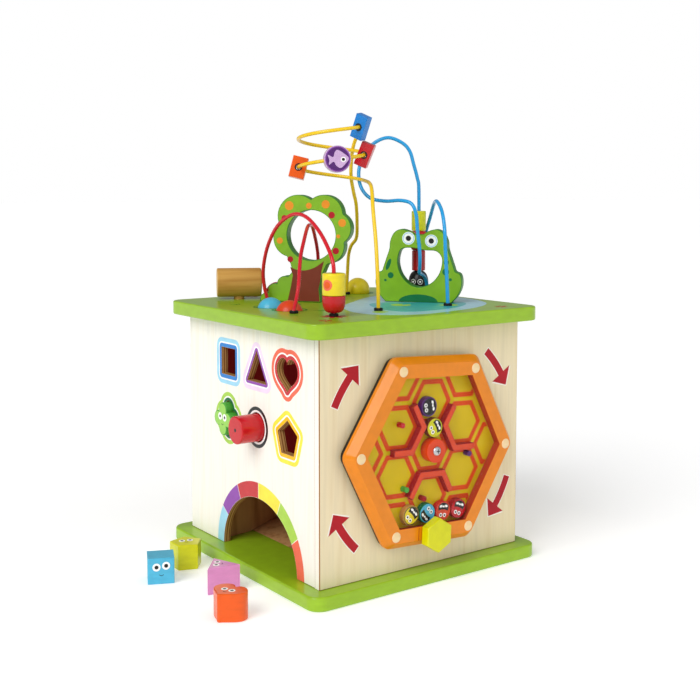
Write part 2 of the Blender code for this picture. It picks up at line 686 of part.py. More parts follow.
def wires():
    for name in WIRES:
        route = wire_route(name)
        down = Vector((0, 0, WIRE_DEPTH))
        rise = Vector((0, 0, WIRE_RISE))
        ends = (route[0] - down, route[-1] - down)
        route[0] += rise
        route[-1] += rise
        steps = 1 if name == "wire_yellow" else 2
        points = [ends[0]] + smooth_path(route, steps) + [ends[1]]
        curve = bpy.data.curves.new(name, "CURVE")
        curve.dimensions = "3D"
        curve.bevel_depth = WIRE_RADIUS
        curve.bevel_resolution = 2
        curve.resolution_u = 1
        curve.render_resolution_u = 0
        curve.use_fill_caps = True
        spline = curve.splines.new("POLY")
        spline.points.add(len(points) - 1)
        for slot, point in zip(spline.points, points):
            slot.co = (*point, 1)
        curve.materials.append(PAINTS[name.split("_")[1]])
        bpy.context.scene.collection.objects.link(bpy.data.objects.new(name, curve))


def bead(profile, height):
    """A turned bead with the wire's hole; the profile runs up its outside in millimetres."""
    hole = WIRE_RADIUS + BEAD_CLEARANCE
    points = [(hole, profile[0][1] * MM)]
    points += [(radius * MM, z * MM) for radius, z in profile]
    points.append((hole, height * MM))
    return turned(points, 16)


def beads():
    first = WIRES["wire_red_outer"][-1]
    stand = Matrix.Translation((first[0] * MM, first[1] * MM, TOP + FERRULE * MM))
    egg = [(8, 0), (11.5, 3), (13.3, 9), (13.8, 20)]
    finish("bead_egg_red", bead(egg, 20), PAINTS["red"], stand)
    cup = [(13.8, 20.4), (13.8, 45), (12.8, 46.4)]
    finish("bead_cup_yellow", bead(cup, 46.4), PAINTS["yellow"], stand)

    second = WIRES["wire_blue_tall"][0]
    stand = Matrix.Translation((second[0] * MM, second[1] * MM, TOP + FERRULE * MM))
    stack = (
        ("bead_bug", [(13.5, 0), (13.5, 21), (12.2, 27), (9, 32), (5.5, 34.5)], 34.5, "black"),
        ("bead_red_drum", [(9, 34.9), (9, 62)], 62, "red"),
        ("bead_red_cap", [(9, 62.4), (12.2, 68), (12.2, 84), (9, 88)], 88, "red"),
        ("bead_yellow_drum", [(9.6, 88.4), (9.6, 115)], 115, "yellow"),
    )
    for name, profile, height, colour in stack:
        finish(name, bead(profile, height), PAINTS[colour], stand)

    # beads on the coil: size along the radius and up, and the tilt of the block
    for name, angle, size, tilt, colour in (
            ("bead_orange_block", 144, (20, 28), radians(-14), "orange"),
            ("bead_red_block", 309, (17, 31), radians(24), "red"),
            ("bead_blue_block", 652, (17, 31), radians(24), "blue")):
        wide, tall = (value * MM / 2 for value in size)
        thick = COIL_BLOCK_THICK * MM / 2
        outline = [(wide, tall), (-wide, tall), (-wide, -tall), (wide, -tall)]
        shape = slab([outline, circle(WIRE_RADIUS + BEAD_CLEARANCE, 10)], -thick, thick)
        finish(name, shape, PAINTS[colour], coil_frame(angle, 0.35 * MM, tilt))

    place = coil_frame(243, 1.75 * MM, 0)
    edge_on = place @ Matrix.Rotation(pi / 2, 4, "Y")
    shape = slab([circle(FISH_RADIUS, 28)], -FISH_THICK / 2, FISH_THICK / 2)
    fish = finish("bead_fish", shape, PAINTS["purple"], edge_on)
    bore = slab([circle(FISH_BORE, 12)], -FISH_RADIUS - 3 * MM, FISH_RADIUS + 3 * MM)
    boolean(fish, cutter("fish_bore", bore, place), "DIFFERENCE")


def coil_frame(angle, inward, tilt):
    """X out from the coil's axis, Y up and Z along the wire, at one place on the coil."""
    point, along = helix(angle)
    outward = Vector((cos(radians(angle)), sin(radians(angle)), 0))
    upward = along.cross(outward)
    turn = Matrix((outward, upward, along)).transposed().to_4x4()
    middle = point * MM + Vector((0, 0, TOP)) - outward * inward
    return Matrix.Translation(middle) @ turn @ Matrix.Rotation(tilt, 4, "Z")


# ---------------------------------------------------------------- balls and mallet
BALLS = (
    # name, position on the plate and height of the middle above it, colour
    ("ball_blue", (-111 * MM, 18 * MM, -5 * MM), "blue"),
    ("ball_orange", (-111 * MM, -26 * MM, -5 * MM), "orange"),
    ("ball_red", (-40 * MM, 114 * MM, 5 * MM), "red"),
    ("ball_yellow", (92 * MM, 108 * MM, 5 * MM), "yellow"),
)


def balls():
    for name, (x, y, z), colour in BALLS:
        shape = bmesh.new()
        bmesh.ops.create_uvsphere(shape, u_segments=18, v_segments=10, radius=BALL_RADIUS)
        finish(name, shape, PAINTS[colour], Matrix.Translation((x, y, TOP + z)))


def mallet():
    x, y = MALLET_HOLE
    lift = 3 * MM
    place = Matrix.Translation((x, y, TOP + lift + MALLET_RADIUS))
    lying = place @ Matrix.Rotation(MALLET_TURN, 4, "Z") @ Matrix.Rotation(pi / 2, 4, "Y")
    edge = 1.5 * MM
    half = MALLET_LENGTH / 2
    profile = [(0, -half), (MALLET_RADIUS - edge, -half), (MALLET_RADIUS, -half + edge),
               (MALLET_RADIUS, half - edge), (MALLET_RADIUS - edge, half), (0, half)]
    head = finish("mallet_head", turned(profile, 28), BARE_WOOD, lying)
    socket = slab([circle(HANDLE_RADIUS + GAP, 14)], -30 * MM, 2 * MM)
    boolean(head, cutter("handle_socket", socket, place), "DIFFERENCE")
    shaft = turned([(0, -HANDLE_LENGTH), (HANDLE_RADIUS - edge, -HANDLE_LENGTH),
                    (HANDLE_RADIUS, -HANDLE_LENGTH + edge), (HANDLE_RADIUS, 2 * MM - GAP),
                    (0, 2 * MM - GAP)], 14)
    finish("mallet_handle", shaft, BARE_WOOD, place)


# ---------------------------------------------------------------- assembly
for leftover in list(bpy.data.objects):
    bpy.data.objects.remove(leftover)

GREEN_PAINT = material("green paint", (0.33, 0.50, 0.05))
PALE_PAINT = material("pale lacquered birch", (0.86, 0.80, 0.68))
PLYWOOD = material("birch plywood", (0.65, 0.46, 0.24), 0.55)
BARE_WOOD = material("bare beech", (0.60, 0.36, 0.14), 0.5)
MAZE_YELLOW = material("maze yellow", (0.68, 0.48, 0.01))
ORANGE_PAINT = material("orange paint", (0.80, 0.22, 0.01))
RED_ORANGE = material("red orange paint", (0.75, 0.07, 0.02))
LIME = material("lime paint", (0.58, 0.62, 0.01))
LEAF_GREEN = material("leaf green paint", (0.20, 0.48, 0.02))
CLEAR = material("clear plastic", (0.9, 0.9, 0.9), 0.05)
STEEL = material("zinc plated steel", (0.6, 0.6, 0.6), 0.3, 1.0)
PAINTS = {
    "red": material("red paint", (0.62, 0.01, 0.02)),
    "yellow": material("yellow paint", (0.80, 0.60, 0.01)),
    "blue": material("blue paint", (0.01, 0.26, 0.62)),
    "orange": material("bright orange paint", (0.80, 0.13, 0.01)),
    "purple": material("purple paint", (0.20, 0.03, 0.30)),
    "lime": LIME,
    "black": material("black paint", (0.01, 0.01, 0.01)),
    "square": material("sky blue paint", (0.03, 0.40, 0.72)),
    "triangle": material("pink paint", (0.70, 0.25, 0.50)),
    "heart": material("block orange paint", (0.82, 0.16, 0.02)),
    "pentagon": material("block lime paint", (0.62, 0.62, 0.02)),
    "clover": material("clover green paint", (0.25, 0.60, 0.10)),
    "round": material("block red paint", (0.70, 0.01, 0.02)),
}

plates()
panels()
inside()
blocks()
maze_wheel()
gears()
sliders()
tree()
frog()
wires()
beads()
balls()
mallet()
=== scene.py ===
"""The looks of the wooden activity cube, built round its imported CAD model.

Sizes are in millimetres until a piece is set down. The frame is the model's own: +Z up, the maze
wheel faces -Y and the shape sorter faces -X. Painted marks are thin layers of their own.
"""
import json
from math import atan2, cos, pi, radians, sin, sqrt

import bmesh
import bpy
from mathutils import Matrix, Vector
from mathutils.geometry import interpolate_bezier

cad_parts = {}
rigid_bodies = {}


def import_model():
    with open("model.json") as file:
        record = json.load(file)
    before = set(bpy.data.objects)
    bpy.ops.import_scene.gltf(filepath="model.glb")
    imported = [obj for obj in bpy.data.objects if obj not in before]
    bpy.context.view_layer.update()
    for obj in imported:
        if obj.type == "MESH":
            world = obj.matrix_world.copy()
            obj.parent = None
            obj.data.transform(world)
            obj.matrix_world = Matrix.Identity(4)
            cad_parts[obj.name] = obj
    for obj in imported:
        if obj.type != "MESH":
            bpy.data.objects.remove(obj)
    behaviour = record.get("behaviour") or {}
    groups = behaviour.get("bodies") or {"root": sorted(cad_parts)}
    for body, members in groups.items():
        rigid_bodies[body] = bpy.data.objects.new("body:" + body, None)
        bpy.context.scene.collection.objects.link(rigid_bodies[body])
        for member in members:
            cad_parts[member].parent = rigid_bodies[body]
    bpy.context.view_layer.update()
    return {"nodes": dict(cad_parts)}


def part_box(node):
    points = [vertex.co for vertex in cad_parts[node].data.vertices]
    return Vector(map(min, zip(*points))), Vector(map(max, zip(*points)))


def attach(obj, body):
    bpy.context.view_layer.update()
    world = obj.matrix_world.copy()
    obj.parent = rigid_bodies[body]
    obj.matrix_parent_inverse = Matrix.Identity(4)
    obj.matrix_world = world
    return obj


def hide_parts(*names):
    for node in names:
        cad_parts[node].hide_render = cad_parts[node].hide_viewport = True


for leftover in list(bpy.data.objects):
    bpy.data.objects.remove(leftover)

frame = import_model()
MM = 0.001

# ---------------------------------------------------------------- sizes from the frame
HALF = round(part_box("maze_panel")[1].x / MM)
PLATE = round(2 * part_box("top_plate")[1].x / MM)
BASE = round(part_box("base_plate")[1].z / MM)
WALL_TOP = round(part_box("top_plate")[0].z / MM)
TOP = round(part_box("top_plate")[1].z / MM)
WALL = 9
GAP = 0.3
INSIDE = HALF - WALL
PLATE_CORNER = 18
PLATE_EDGE = 2.5              # rounding of the plates' edges
WHEEL_UP = (BASE + WALL_TOP) / 2
FRONT, LEFT, RIGHT, BACK = 0, -pi / 2, pi / 2, pi

# slot in the back panel
SLOT_REACH = 90               # from the panel's middle to the middle of its round ends
SLOT_RADIUS = 6
SLOT_LEVEL = WALL_TOP - 120

# shape sorter
COLUMNS = (-51, 18, 87)
UPPER = WALL_TOP - 52
LOWER = WALL_TOP - 125
SQUARE = 34
TRIANGLE_RADIUS = 44 / sqrt(3)
HEART_WIDTH = 44.6
HEART_HEIGHT = 40
HEART_TIP = 4.5               # the rounding of its point starts this far up
LOBE = 10.6                   # radius of a clover leaf
LOBE_REACH = 11.6
ROUND = 18.2
PENTAGON = 22
CLEARANCE = 1
BLOCK_LENGTH = 32
ARCH_CENTRE = 20
ARCH_HALF = 86
ARCH_HEIGHT = 77
RAINBOW = 16                  # width of the band round the doorway at its sides
RAINBOW_TOP = 20
RAINBOW_GAP = 0.7             # between the doorway and its rainbow
WHITE_RING = 2
HALO = 5.2
CLOVER_OUT = 9.5              # how far the clover block stands out of its hole
ROUND_OUT = 31
ROUND_LENGTH = 40

# maze wheel, from its back to its front
WHEEL_RADIUS = 131
WHEEL_TURN = radians(-3)
WHEEL_BACK = 2
WHEEL_FACE = 9
WHEEL_FRONT = 23
FRAME_INNER = 103
FRAME_CHAMFER = 9
WINDOW_BACK = 18
WINDOW_FRONT = 20
CELL = 58                     # from one cell's middle to the next
LINE_INNER, LINE_OUTER = 20.6, 26.6
RIDGE_HALF = 4
PEG_RADIUS = 3.4
PEG_CIRCLE = 59
CAP_RADIUS = 6.2
CAP_CIRCLE = 112.5
KNOB_RADIUS = 21
KNOB_HIGH = 13
AXLE_HOLE = 3.3
AXLE_RADIUS = 3
HUB_RADIUS = 14.5
COUNTER_RADIUS = 12
COUNTER_HIGH = 8

# arrows round the wheel
ARROW_RADIUS = 148
ARROW_HALF = 5
ARROW_BARB = 17
ARROW_SWEEP = 15.5            # degrees from its tail to its neck
ARROW_LENGTH = 22.3           # degrees from its tail to its tip

# gears
TOOTH = 2.5                   # pitch radius for each tooth
TOOTH_DEPTH = 2.7
GEAR_BACK = 2
GEAR_FRONT = 14
GEAR_HOLE = 8.6
GEAR_ANGLES = (radians(-25), radians(35))     # from each gear's middle to the next one's
PIN_RADIUS = 8
PIN_HEAD = 14

# top
FIGURE_THICKNESS = 18
FIGURE_FACING = radians(-50)
TREE_FOOT = (-44.5, 42)
FROG_FOOT = (75.5, -48.5)
WIRE_RADIUS = 2.4
WIRE_SUNK = 11
BEAD_HOLE = 3.4
DRUM_FOOT = 4.5               # height of the lowest beads above the plate
COIL_BLOCK_HALF = 6.5
FISH_RADIUS = 17
FISH_HALF = 7
FERRULE_RADIUS = 5.5
FERRULE_HEIGHT = 3.5
BALL_RADIUS = 17
MALLET_HOLE = (-90, 133)
MALLET_HOLE_RADIUS = 7.6
MALLET_TURN = radians(-27)
MALLET_LEVEL = 22.5           # of the head's middle above the plate
HEAD_RADIUS = 19.5
HEAD_HALF = 30
SHAFT_RADIUS = 7
SHAFT_LENGTH = 150
PRINT = 0.1                   # thickness of a painted mark

# camera, floor and lights; distances in metres
CAMERA_TURN = radians(-35.898)
CAMERA_AWAY = 1.45854
CAMERA_HEIGHT = 0.47378
CAMERA_DIP = radians(4.6154)
LENS = 57.482
LENS_SHIFT = -0.1
SKY_LIGHT = 0.32              # on the toy; the backdrop itself is seen at full white
FLOOR_REACH = 40
FLOOR_DROP = 0.0002
FLOOR_GLOW = 0.28
# name, direction, softness in degrees, power, share that shines in gloss
SUNS = (("key", (0.76, 0.22, -0.60), 40, 2.05, 1), ("fill", (-0.25, 0.9, -0.35), 90, 0.9, 0.25))


# ---------------------------------------------------------------- materials
def linear(*screen):
    """A colour given as it shows on a screen, 0 to 255, as the shader wants it."""
    return tuple(((value / 255 + 0.055) / 1.055) ** 2.4 if value > 10 else value / 255 / 12.92
                 for value in screen)


def shader_of(surface):
    return surface.node_tree.nodes["Principled BSDF"]


def link(thing):
    bpy.context.scene.collection.objects.link(thing)


def dial(node, **values):
    """Set a node's own sockets; an underscore in a name stands for a space."""
    for name, value in values.items():
        node.inputs[name.replace("_", " ")].default_value = value


def add(surface, kind, **settings):
    node = surface.node_tree.nodes.new(kind)
    for name, value in settings.items():
        setattr(node, name, value)
    return node


EVEN = (1, 1, 1)


def noise(surface, scale, detail, stretch=EVEN):
    """Noise in the piece's own coordinates; scale is in spots for each metre."""
    links = surface.node_tree.links
    place = add(surface, "ShaderNodeTexCoord")
    mapping = add(surface, "ShaderNodeMapping")
    dial(mapping, Scale=stretch)
    links.new(place.outputs["Object"], mapping.inputs["Vector"])
    grain = add(surface, "ShaderNodeTexNoise")
    dial(grain, Scale=scale, Detail=detail)
    links.new(mapping.outputs["Vector"], grain.inputs["Vector"])
    return grain.outputs["Fac"]


def ramp(surface, value, stops):
    """Colour stops over a value from 0 to 1."""
    bands = add(surface, "ShaderNodeValToRGB")
    while len(bands.color_ramp.elements) < len(stops):
        bands.color_ramp.elements.new(0.5)
    for element, (position, colour) in zip(bands.color_ramp.elements, stops):
        element.position = position
        element.color = (*colour, 1)
    surface.node_tree.links.new(value, bands.inputs["Fac"])
    return bands.outputs["Color"]


def bump(surface, value, strength, depth):
    node = add(surface, "ShaderNodeBump")
    dial(node, Strength=strength, Distance=depth * MM)
    surface.node_tree.links.new(value, node.inputs["Height"])
    surface.node_tree.links.new(node.outputs["Normal"], shader_of(surface).inputs["Normal"])


def new_surface(name, roughness, coat):
    surface = bpy.data.materials.new(name)
    surface.use_nodes = True
    dial(shader_of(surface), Roughness=roughness, Coat_Weight=coat * 0.5, Coat_Roughness=0.12,
         Specular_IOR_Level=0.3 if roughness < 0.4 else 0.15)
    return surface


def grained(name, roughness, coat, shade, relief):
    """A surface whose colour drifts over noise and whose gloss is broken by finer noise.

    shade: scale, detail, stretch and colour stops; relief: scale, detail, stretch, strength, depth.
    """
    surface = new_surface(name, roughness, coat)
    scale, detail, stretch, stops = shade
    colours = ramp(surface, noise(surface, scale, detail, stretch), stops)
    surface.node_tree.links.new(colours, shader_of(surface).inputs["Base Color"])
    scale, detail, stretch, strength, depth = relief
    bump(surface, noise(surface, scale, detail, stretch), strength, depth)
    return surface


def paint(name, screen, roughness=0.38, coat=0.25):
    """Lacquer over wood: the colour drifts a little and the grain shows faintly in its gloss."""
    colour = linear(*screen)
    stops = [(0.3, tuple(value * 0.93 for value in colour)),
             (0.7, tuple(min(1, value * 1.05) for value in colour))]
    return grained(name, roughness, coat, (70, 3, (1, 1, 2.5), stops),
                   (520, 3, (1, 1, 0.35), 0.10, 0.12))


def wood(name, light, dark, stretch, roughness=0.5, coat=0.12):
    """Bare or clear-lacquered wood: long streaks with fine pores across them."""
    stops = [(0.30, linear(*dark)), (0.5, linear(*light)),
             (0.72, linear(*[0.96 * value for value in light]))]
    return grained(name, roughness, coat, (9, 7, stretch, stops), (60, 4, stretch, 0.14, 0.2))


def ply_edge(name, light, dark, plies):
    """The sawn edge of plywood: plies of light and dark along the sheet's thickness."""
    surface = new_surface(name, 0.62, 0.0)
    links = surface.node_tree.links
    place = add(surface, "ShaderNodeTexCoord")
    split = add(surface, "ShaderNodeSeparateXYZ")
    links.new(place.outputs["Object"], split.inputs["Vector"])
    value = split.outputs["Z"]
    for operation, other in (("PINGPONG", WALL * MM / plies), ("MULTIPLY", plies / WALL / MM)):
        step = add(surface, "ShaderNodeMath", operation=operation)
        step.inputs[1].default_value = other
        links.new(value, step.inputs[0])
        value = step.outputs["Value"]
    shade = ramp(surface, value, [(0.35, linear(*dark)), (0.55, linear(*light))])
    links.new(shade, shader_of(surface).inputs["Base Color"])
    bump(surface, noise(surface, 900, 2), 0.15, 0.1)
    return surface


def plastic_coat(name, screen):
    """Smooth plastic sleeve on a steel wire."""
    colour = linear(*screen)
    stops = [(0.3, tuple(value * 0.96 for value in colour)), (0.7, colour)]
    return grained(name, 0.22, 0.5, (40, 2, EVEN, stops), (300, 2, EVEN, 0.03, 0.1))


def metal(name, screen):
    stops = [(0.3, linear(*[0.85 * value for value in screen])), (0.7, linear(*screen))]
    surface = grained(name, 0.28, 0.0, (400, 3, EVEN, stops), (900, 2, EVEN, 0.05, 0.05))
    dial(shader_of(surface), Metallic=1)
    return surface


def clear(name):
    """Clear acrylic sheet: mostly seen through, with its own gloss."""
    surface = new_surface(name, 0.04, 0.0)
    dial(shader_of(surface), Base_Color=(0.2, 0.2, 0.2, 1), Alpha=0.025)
    bump(surface, noise(surface, 12, 2), 0.02, 0.2)
    return surface


def rubber(name):
    stops = [(0.3, (0.006, 0.006, 0.006)), (0.7, (0.02, 0.02, 0.02))]
    return grained(name, 0.55, 0.0, (300, 3, EVEN, stops), (1500, 2, EVEN, 0.2, 0.05))


# ---------------------------------------------------------------- mesh building
def area(loop):
    return sum(a[0] * b[1] - b[0] * a[1] for a, b in zip(loop, loop[1:] + loop[:1])) / 2


def inset(loop, distance):
    """A closed outline moved towards its left side, when it runs anticlockwise its inside."""
    moved_loop = []
    count = len(loop)
    for index, (x, y) in enumerate(loop):
        before = (Vector(loop[index]) - Vector(loop[index - 1])).normalized()
        after = (Vector(loop[(index + 1) % count]) - Vector(loop[index])).normalized()
        bend = Vector((-before.y - after.y, before.x + after.x))
        reach = distance * 2 / max(bend.length_squared, 0.6)
        moved_loop.append((x + bend.x * reach, y + bend.y * reach))
    return moved_loop


def bridge(shape, lower, upper, look=0):
    """Faces from one closed ring of vertices to the next; either may be a single point."""
    count = max(len(lower), len(upper))
    for index in range(count):
        after = (index + 1) % count
        corners = (lower[index % len(lower)], lower[after % len(lower)],
                   upper[after % len(upper)], upper[index % len(upper)])
        shape.faces.new(dict.fromkeys(corners)).material_index = look


def slab(loops, bottom, top, edge=0.0, steps=3, under=0):
    """A flat solid from closed outlines, holes after the first, with rounded edges.

    Its top face takes the first material, its sides the second and its underside the one given.
    """
    shape = bmesh.new()
    turned_loops = [loop if (area(loop) > 0) == (index == 0) else loop[::-1]
                    for index, loop in enumerate(loops)]
    levels = [(edge, bottom)] if edge else []
    for step in range(1, steps if edge else 0):
        a = step / steps * pi / 2
        levels.append((edge * (1 - sin(a)), bottom + edge * (1 - cos(a))))
    levels.append((0, bottom + edge))
    levels += [(away, bottom + top - z) for away, z in levels[::-1]]
    caps = ([], [])
    for loop in turned_loops:
        rings = [[shape.verts.new((x, y, z)) for x, y in (inset(loop, away) if away else loop)]
                 for away, z in levels]
        for lower, upper in zip(rings, rings[1:]):
            bridge(shape, lower, upper, 1)
        for cap, ring in zip(caps, (rings[0], rings[-1])):
            cap += [shape.edges.get((a, b)) for a, b in zip(ring, ring[1:] + ring[:1])]
    for cap, look in zip(caps, (under, 0)):
        filled = bmesh.ops.triangle_fill(shape, use_beauty=True, use_dissolve=False, edges=cap)
        for item in filled["geom"]:
            if isinstance(item, bmesh.types.BMFace):
                item.material_index = look
    return shape


def turned(profile, steps=48):
    """A solid of revolution about Z from (radius, height) points; radius 0 closes an end."""
    shape = bmesh.new()
    rings = [[shape.verts.new((x, y, height)) for x, y in circle(radius, steps if radius else 1)]
             for radius, height in profile]
    closing = [(rings[-1], rings[0])] if profile[0][0] and profile[-1][0] else []
    for lower, upper in list(zip(rings, rings[1:])) + closing:
        bridge(shape, lower, upper)
    return shape


def rounded(profile, edge, steps=4):
    """A profile whose every corner is rounded by up to the given radius."""
    points = [profile[0]]
    for before, here, after in zip(profile, profile[1:], profile[2:]):
        first = Vector(before) - Vector(here)
        second = Vector(after) - Vector(here)
        reach = min(edge, first.length * 0.45, second.length * 0.45)
        start = Vector(here) + first.normalized() * reach
        end = Vector(here) + second.normalized() * reach
        for step in range(steps + 1):
            t = step / steps
            point = start * (1 - t) ** 2 + Vector(here) * 2 * t * (1 - t) + end * t ** 2
            points.append(tuple(point))
    return points + [profile[-1]]


def set_down(name, shape, place, looks, body, stands_for=(), sharp=42):
    """Give a shape its place, its materials and the CAD body that it rides on."""
    bmesh.ops.recalc_face_normals(shape, faces=shape.faces[:])
    bmesh.ops.scale(shape, vec=(MM, MM, MM), verts=shape.verts[:])
    mesh = bpy.data.meshes.new(name)
    shape.to_mesh(mesh)
    shape.free()
    mesh.shade_smooth()
    mesh.set_sharp_from_angle(angle=radians(sharp))
    for look in looks:
        mesh.materials.append(look)
    piece = bpy.data.objects.new(name, mesh)
    link(piece)
    spot = place.copy()
    spot.translation = spot.translation * MM
    piece.matrix_world = spot
    flat = piece.modifiers.new("Flat faces", "WEIGHTED_NORMAL")
    flat.keep_sharp = True
    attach(piece, body)
    if stands_for:
        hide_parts(*stands_for)
    return piece


def marks(name, outlines, place, look, body, level=0):
    """Painted marks: every entry is a list of loops, and each level lies over the ones before."""
    shape = bmesh.new()
    for loops in outlines:
        part = slab(loops, 0.02, PRINT * (1 + level))
        for face in part.faces:
            face.material_index = 0
        scratch = bpy.data.meshes.new("scratch")
        part.to_mesh(scratch)
        part.free()
        shape.from_mesh(scratch)
        bpy.data.meshes.remove(scratch)
    return set_down(name, shape, place, [look], body)


def wrapped_mark(name, radius, height, facing, size, place, look, body, level=0):
    """A round painted mark on the side of a turned piece."""
    shape = bmesh.new()
    rings = []
    skin = radius + PRINT * (1 + level)
    for share in (0, 0.5, 1):
        spots = circle(size * share, 20 if share else 1)
        rings.append([shape.verts.new((*polar([(skin, facing + x / radius)])[0], height + y))
                      for x, y in spots])
    bridge(shape, rings[2], rings[1])
    bridge(shape, rings[1], rings[0])
    return set_down(name, shape, place, [look], body)


def shift(x, y, z=0):
    return Matrix.Translation((x, y, z))


def spin(angle, axis="Z"):
    return Matrix.Rotation(angle, 4, axis)


def on_face(facing, across=0.0, up=0.0, out=0.0):
    """A frame on one face of the box: X across, Y up and Z straight out."""
    return spin(facing) @ shift(0, -HALF) @ spin(pi / 2, "X") @ shift(across, up, out)


def standing(foot):
    """The frame of a wooden figure: X along the board, Y up, Z out of its front."""
    return shift(*foot, TOP + GAP) @ spin(FIGURE_FACING) @ spin(pi / 2, "X")


# ---------------------------------------------------------------- outlines
def polar(spots):
    """Points given as a distance and an angle."""
    return [(reach * cos(a), reach * sin(a)) for reach, a in spots]


def around(count):
    """Evenly spread angles for this many things in a ring."""
    return [2 * pi * number / count for number in range(count)]


def moved(outline, x, y):
    return [(px + x, py + y) for px, py in outline]


def circle(radius, steps=40, middle=(0, 0), start=0.0):
    return moved(polar([(radius, start + a) for a in around(steps)]), *middle)


def oval(wide, tall, middle=(0, 0), turn=0.0):
    flat = [(wide * cos(a), tall * sin(a)) for a in around(24)]
    return moved([(x * cos(turn) - y * sin(turn), x * sin(turn) + y * cos(turn)) for x, y in flat],
                 *middle)


def near(point, loop):
    """How far a point is from a closed outline."""
    found = []
    for start, end in zip(loop, loop[1:] + loop[:1]):
        first, second, here = Vector(start), Vector(end), Vector(point)
        along = second - first
        share = min(1, max(0, (here - first).dot(along) / max(along.length_squared, 1e-9)))
        found.append((here - first - along * share).length)
    return min(found)


def grown(corners, distance, steps=6):
    """An anticlockwise outline moved outwards, rounded at its corners and true in its hollows."""
    points = []
    count = len(corners)
    for index in range(count):
        here = Vector(corners[index])
        before = here - Vector(corners[index - 1])
        after = Vector(corners[(index + 1) % count]) - here
        start = atan2(-before.x, before.y)
        sweep = (atan2(-after.x, after.y) - start + pi) % (2 * pi) - pi
        fan = steps if sweep > radians(25) else 1
        for step in range(fan + 1):
            a = start + sweep * step / fan
            points.append((here.x + distance * cos(a), here.y + distance * sin(a)))
    return [point for point in points if near(point, corners) > distance * 0.995 - 0.01]


def lobes(circles, middle, start, end, steps):
    """The outline round a cluster of circles, seen from a point that they all surround."""
    points = []
    for step in range(steps + 1):
        a = start + (end - start) * step / steps
        reach = 0
        for x, y, radius in circles:
            along = (x - middle[0]) * cos(a) + (y - middle[1]) * sin(a)
            aside = (y - middle[1]) * cos(a) - (x - middle[0]) * sin(a)
            if abs(aside) < radius:
                reach = max(reach, along + sqrt(radius * radius - aside * aside))
        points.append((middle[0] + reach * cos(a), middle[1] + reach * sin(a)))
    return points


def clover(growth):
    leaves = [(x, y, LOBE + growth) for x, y in circle(LOBE_REACH, 4)]
    return lobes(leaves, (0, 0), 0, 2 * pi, 72)[:-1]


def heart(growth=0.0):
    """Two lobes and a point, scaled to the heart's width and height."""
    steps = 56
    raw = [(-sin(t) ** 3, 13 * cos(t) - 3 * cos(2 * t) - 2 * cos(3 * t) - cos(4 * t))
           for t in around(steps)]
    low = min(y for x, y in raw)
    high = max(y for x, y in raw)
    wide = HEART_WIDTH / 2 + growth
    tall = HEART_HEIGHT + 2 * growth
    points = [(x * wide, ((y - low) / (high - low) - 0.5) * tall) for x, y in raw]
    first = [x < 0 and y < HEART_TIP - tall / 2 for x, y in points].index(True)
    start, tip, end = (Vector(points[index]) for index in (first, steps // 2, steps - first))
    curve = [start * (1 - t) ** 2 + tip * 2 * t * (1 - t) + end * t ** 2
             for t in (step / 8 for step in range(9))]
    return points[:first] + [tuple(point) for point in curve] + points[steps - first + 1:]


def corners_of(sides, radius, start=pi / 2):
    return circle(radius, sides, start=start)


def square_corners():
    half = SQUARE / 2
    return [(half, half), (-half, half), (-half, -half), (half, -half)]


def hole_outline(name, growth):
    """A sorter hole's outline, grown by some distance; negative for its block."""
    if name == "clover":
        return clover(growth)
    if name == "heart":
        return grown(heart(), growth) if growth > 0 else heart(growth)
    if name == "round":
        return circle(ROUND + growth, 56)
    corners = {"square": square_corners(), "triangle": corners_of(3, TRIANGLE_RADIUS),
               "pentagon": corners_of(5, PENTAGON)}[name]
    return grown(corners, growth) if growth > 0 else inset(corners, -growth)


HOLES = {
    "square": (COLUMNS[0], UPPER), "triangle": (COLUMNS[1], UPPER - 4),
    "heart": (COLUMNS[2], UPPER), "clover": (COLUMNS[0], LOWER),
    "round": (COLUMNS[1], LOWER), "pentagon": (COLUMNS[2], LOWER - 2.5),
}


def smooth_path(points, steps, closed=False):
    """Points along a smooth curve through given ones."""
    path = [Vector(point) for point in points]
    count = len(path)
    last = count if closed else count - 1
    result = []
    for index in range(last):
        here = path[index]
        there = path[(index + 1) % count]
        before = path[index - 1] if index or closed else here
        after = path[(index + 2) % count] if index + 2 < count or closed else there
        leave = here + (there - before) / 6
        arrive = there - (after - here) / 6
        result += interpolate_bezier(here, leave, arrive, there, steps + 1)[:-1]
    if not closed:
        result.append(path[-1])
    return result


def smooth_outline(points, steps, closed=True):
    """A flat outline through given points."""
    path = smooth_path([(x, y, 0) for x, y in points], steps, closed)
    return [(point.x, point.y) for point in path]


def eyes(name, spots, place, body, pupil=0.42):
    """Pairs of white eyes with dark pupils; every spot is (x, y, radius)."""
    whites = [[circle(r, 28, (x, y))] for x, y, r in spots]
    pupils = [[circle(r * pupil, 20, (x, y))] for x, y, r in spots]
    marks(name + "_whites", whites, place, WHITE, body, 1)
    marks(name + "_pupils", pupils, place, BLACK, body, 2)


def smile(name, x, y, width, place, body):
    """A small curved mouth."""
    lower = [(x + width * (t / 8 - 0.5), y - width * 0.25 * sin(pi * t / 8)) for t in range(9)]
    upper = [(px, py + 0.7) for px, py in lower[::-1]]
    marks(name + "_mouth", [[lower + upper]], place, BLACK, body, 1)


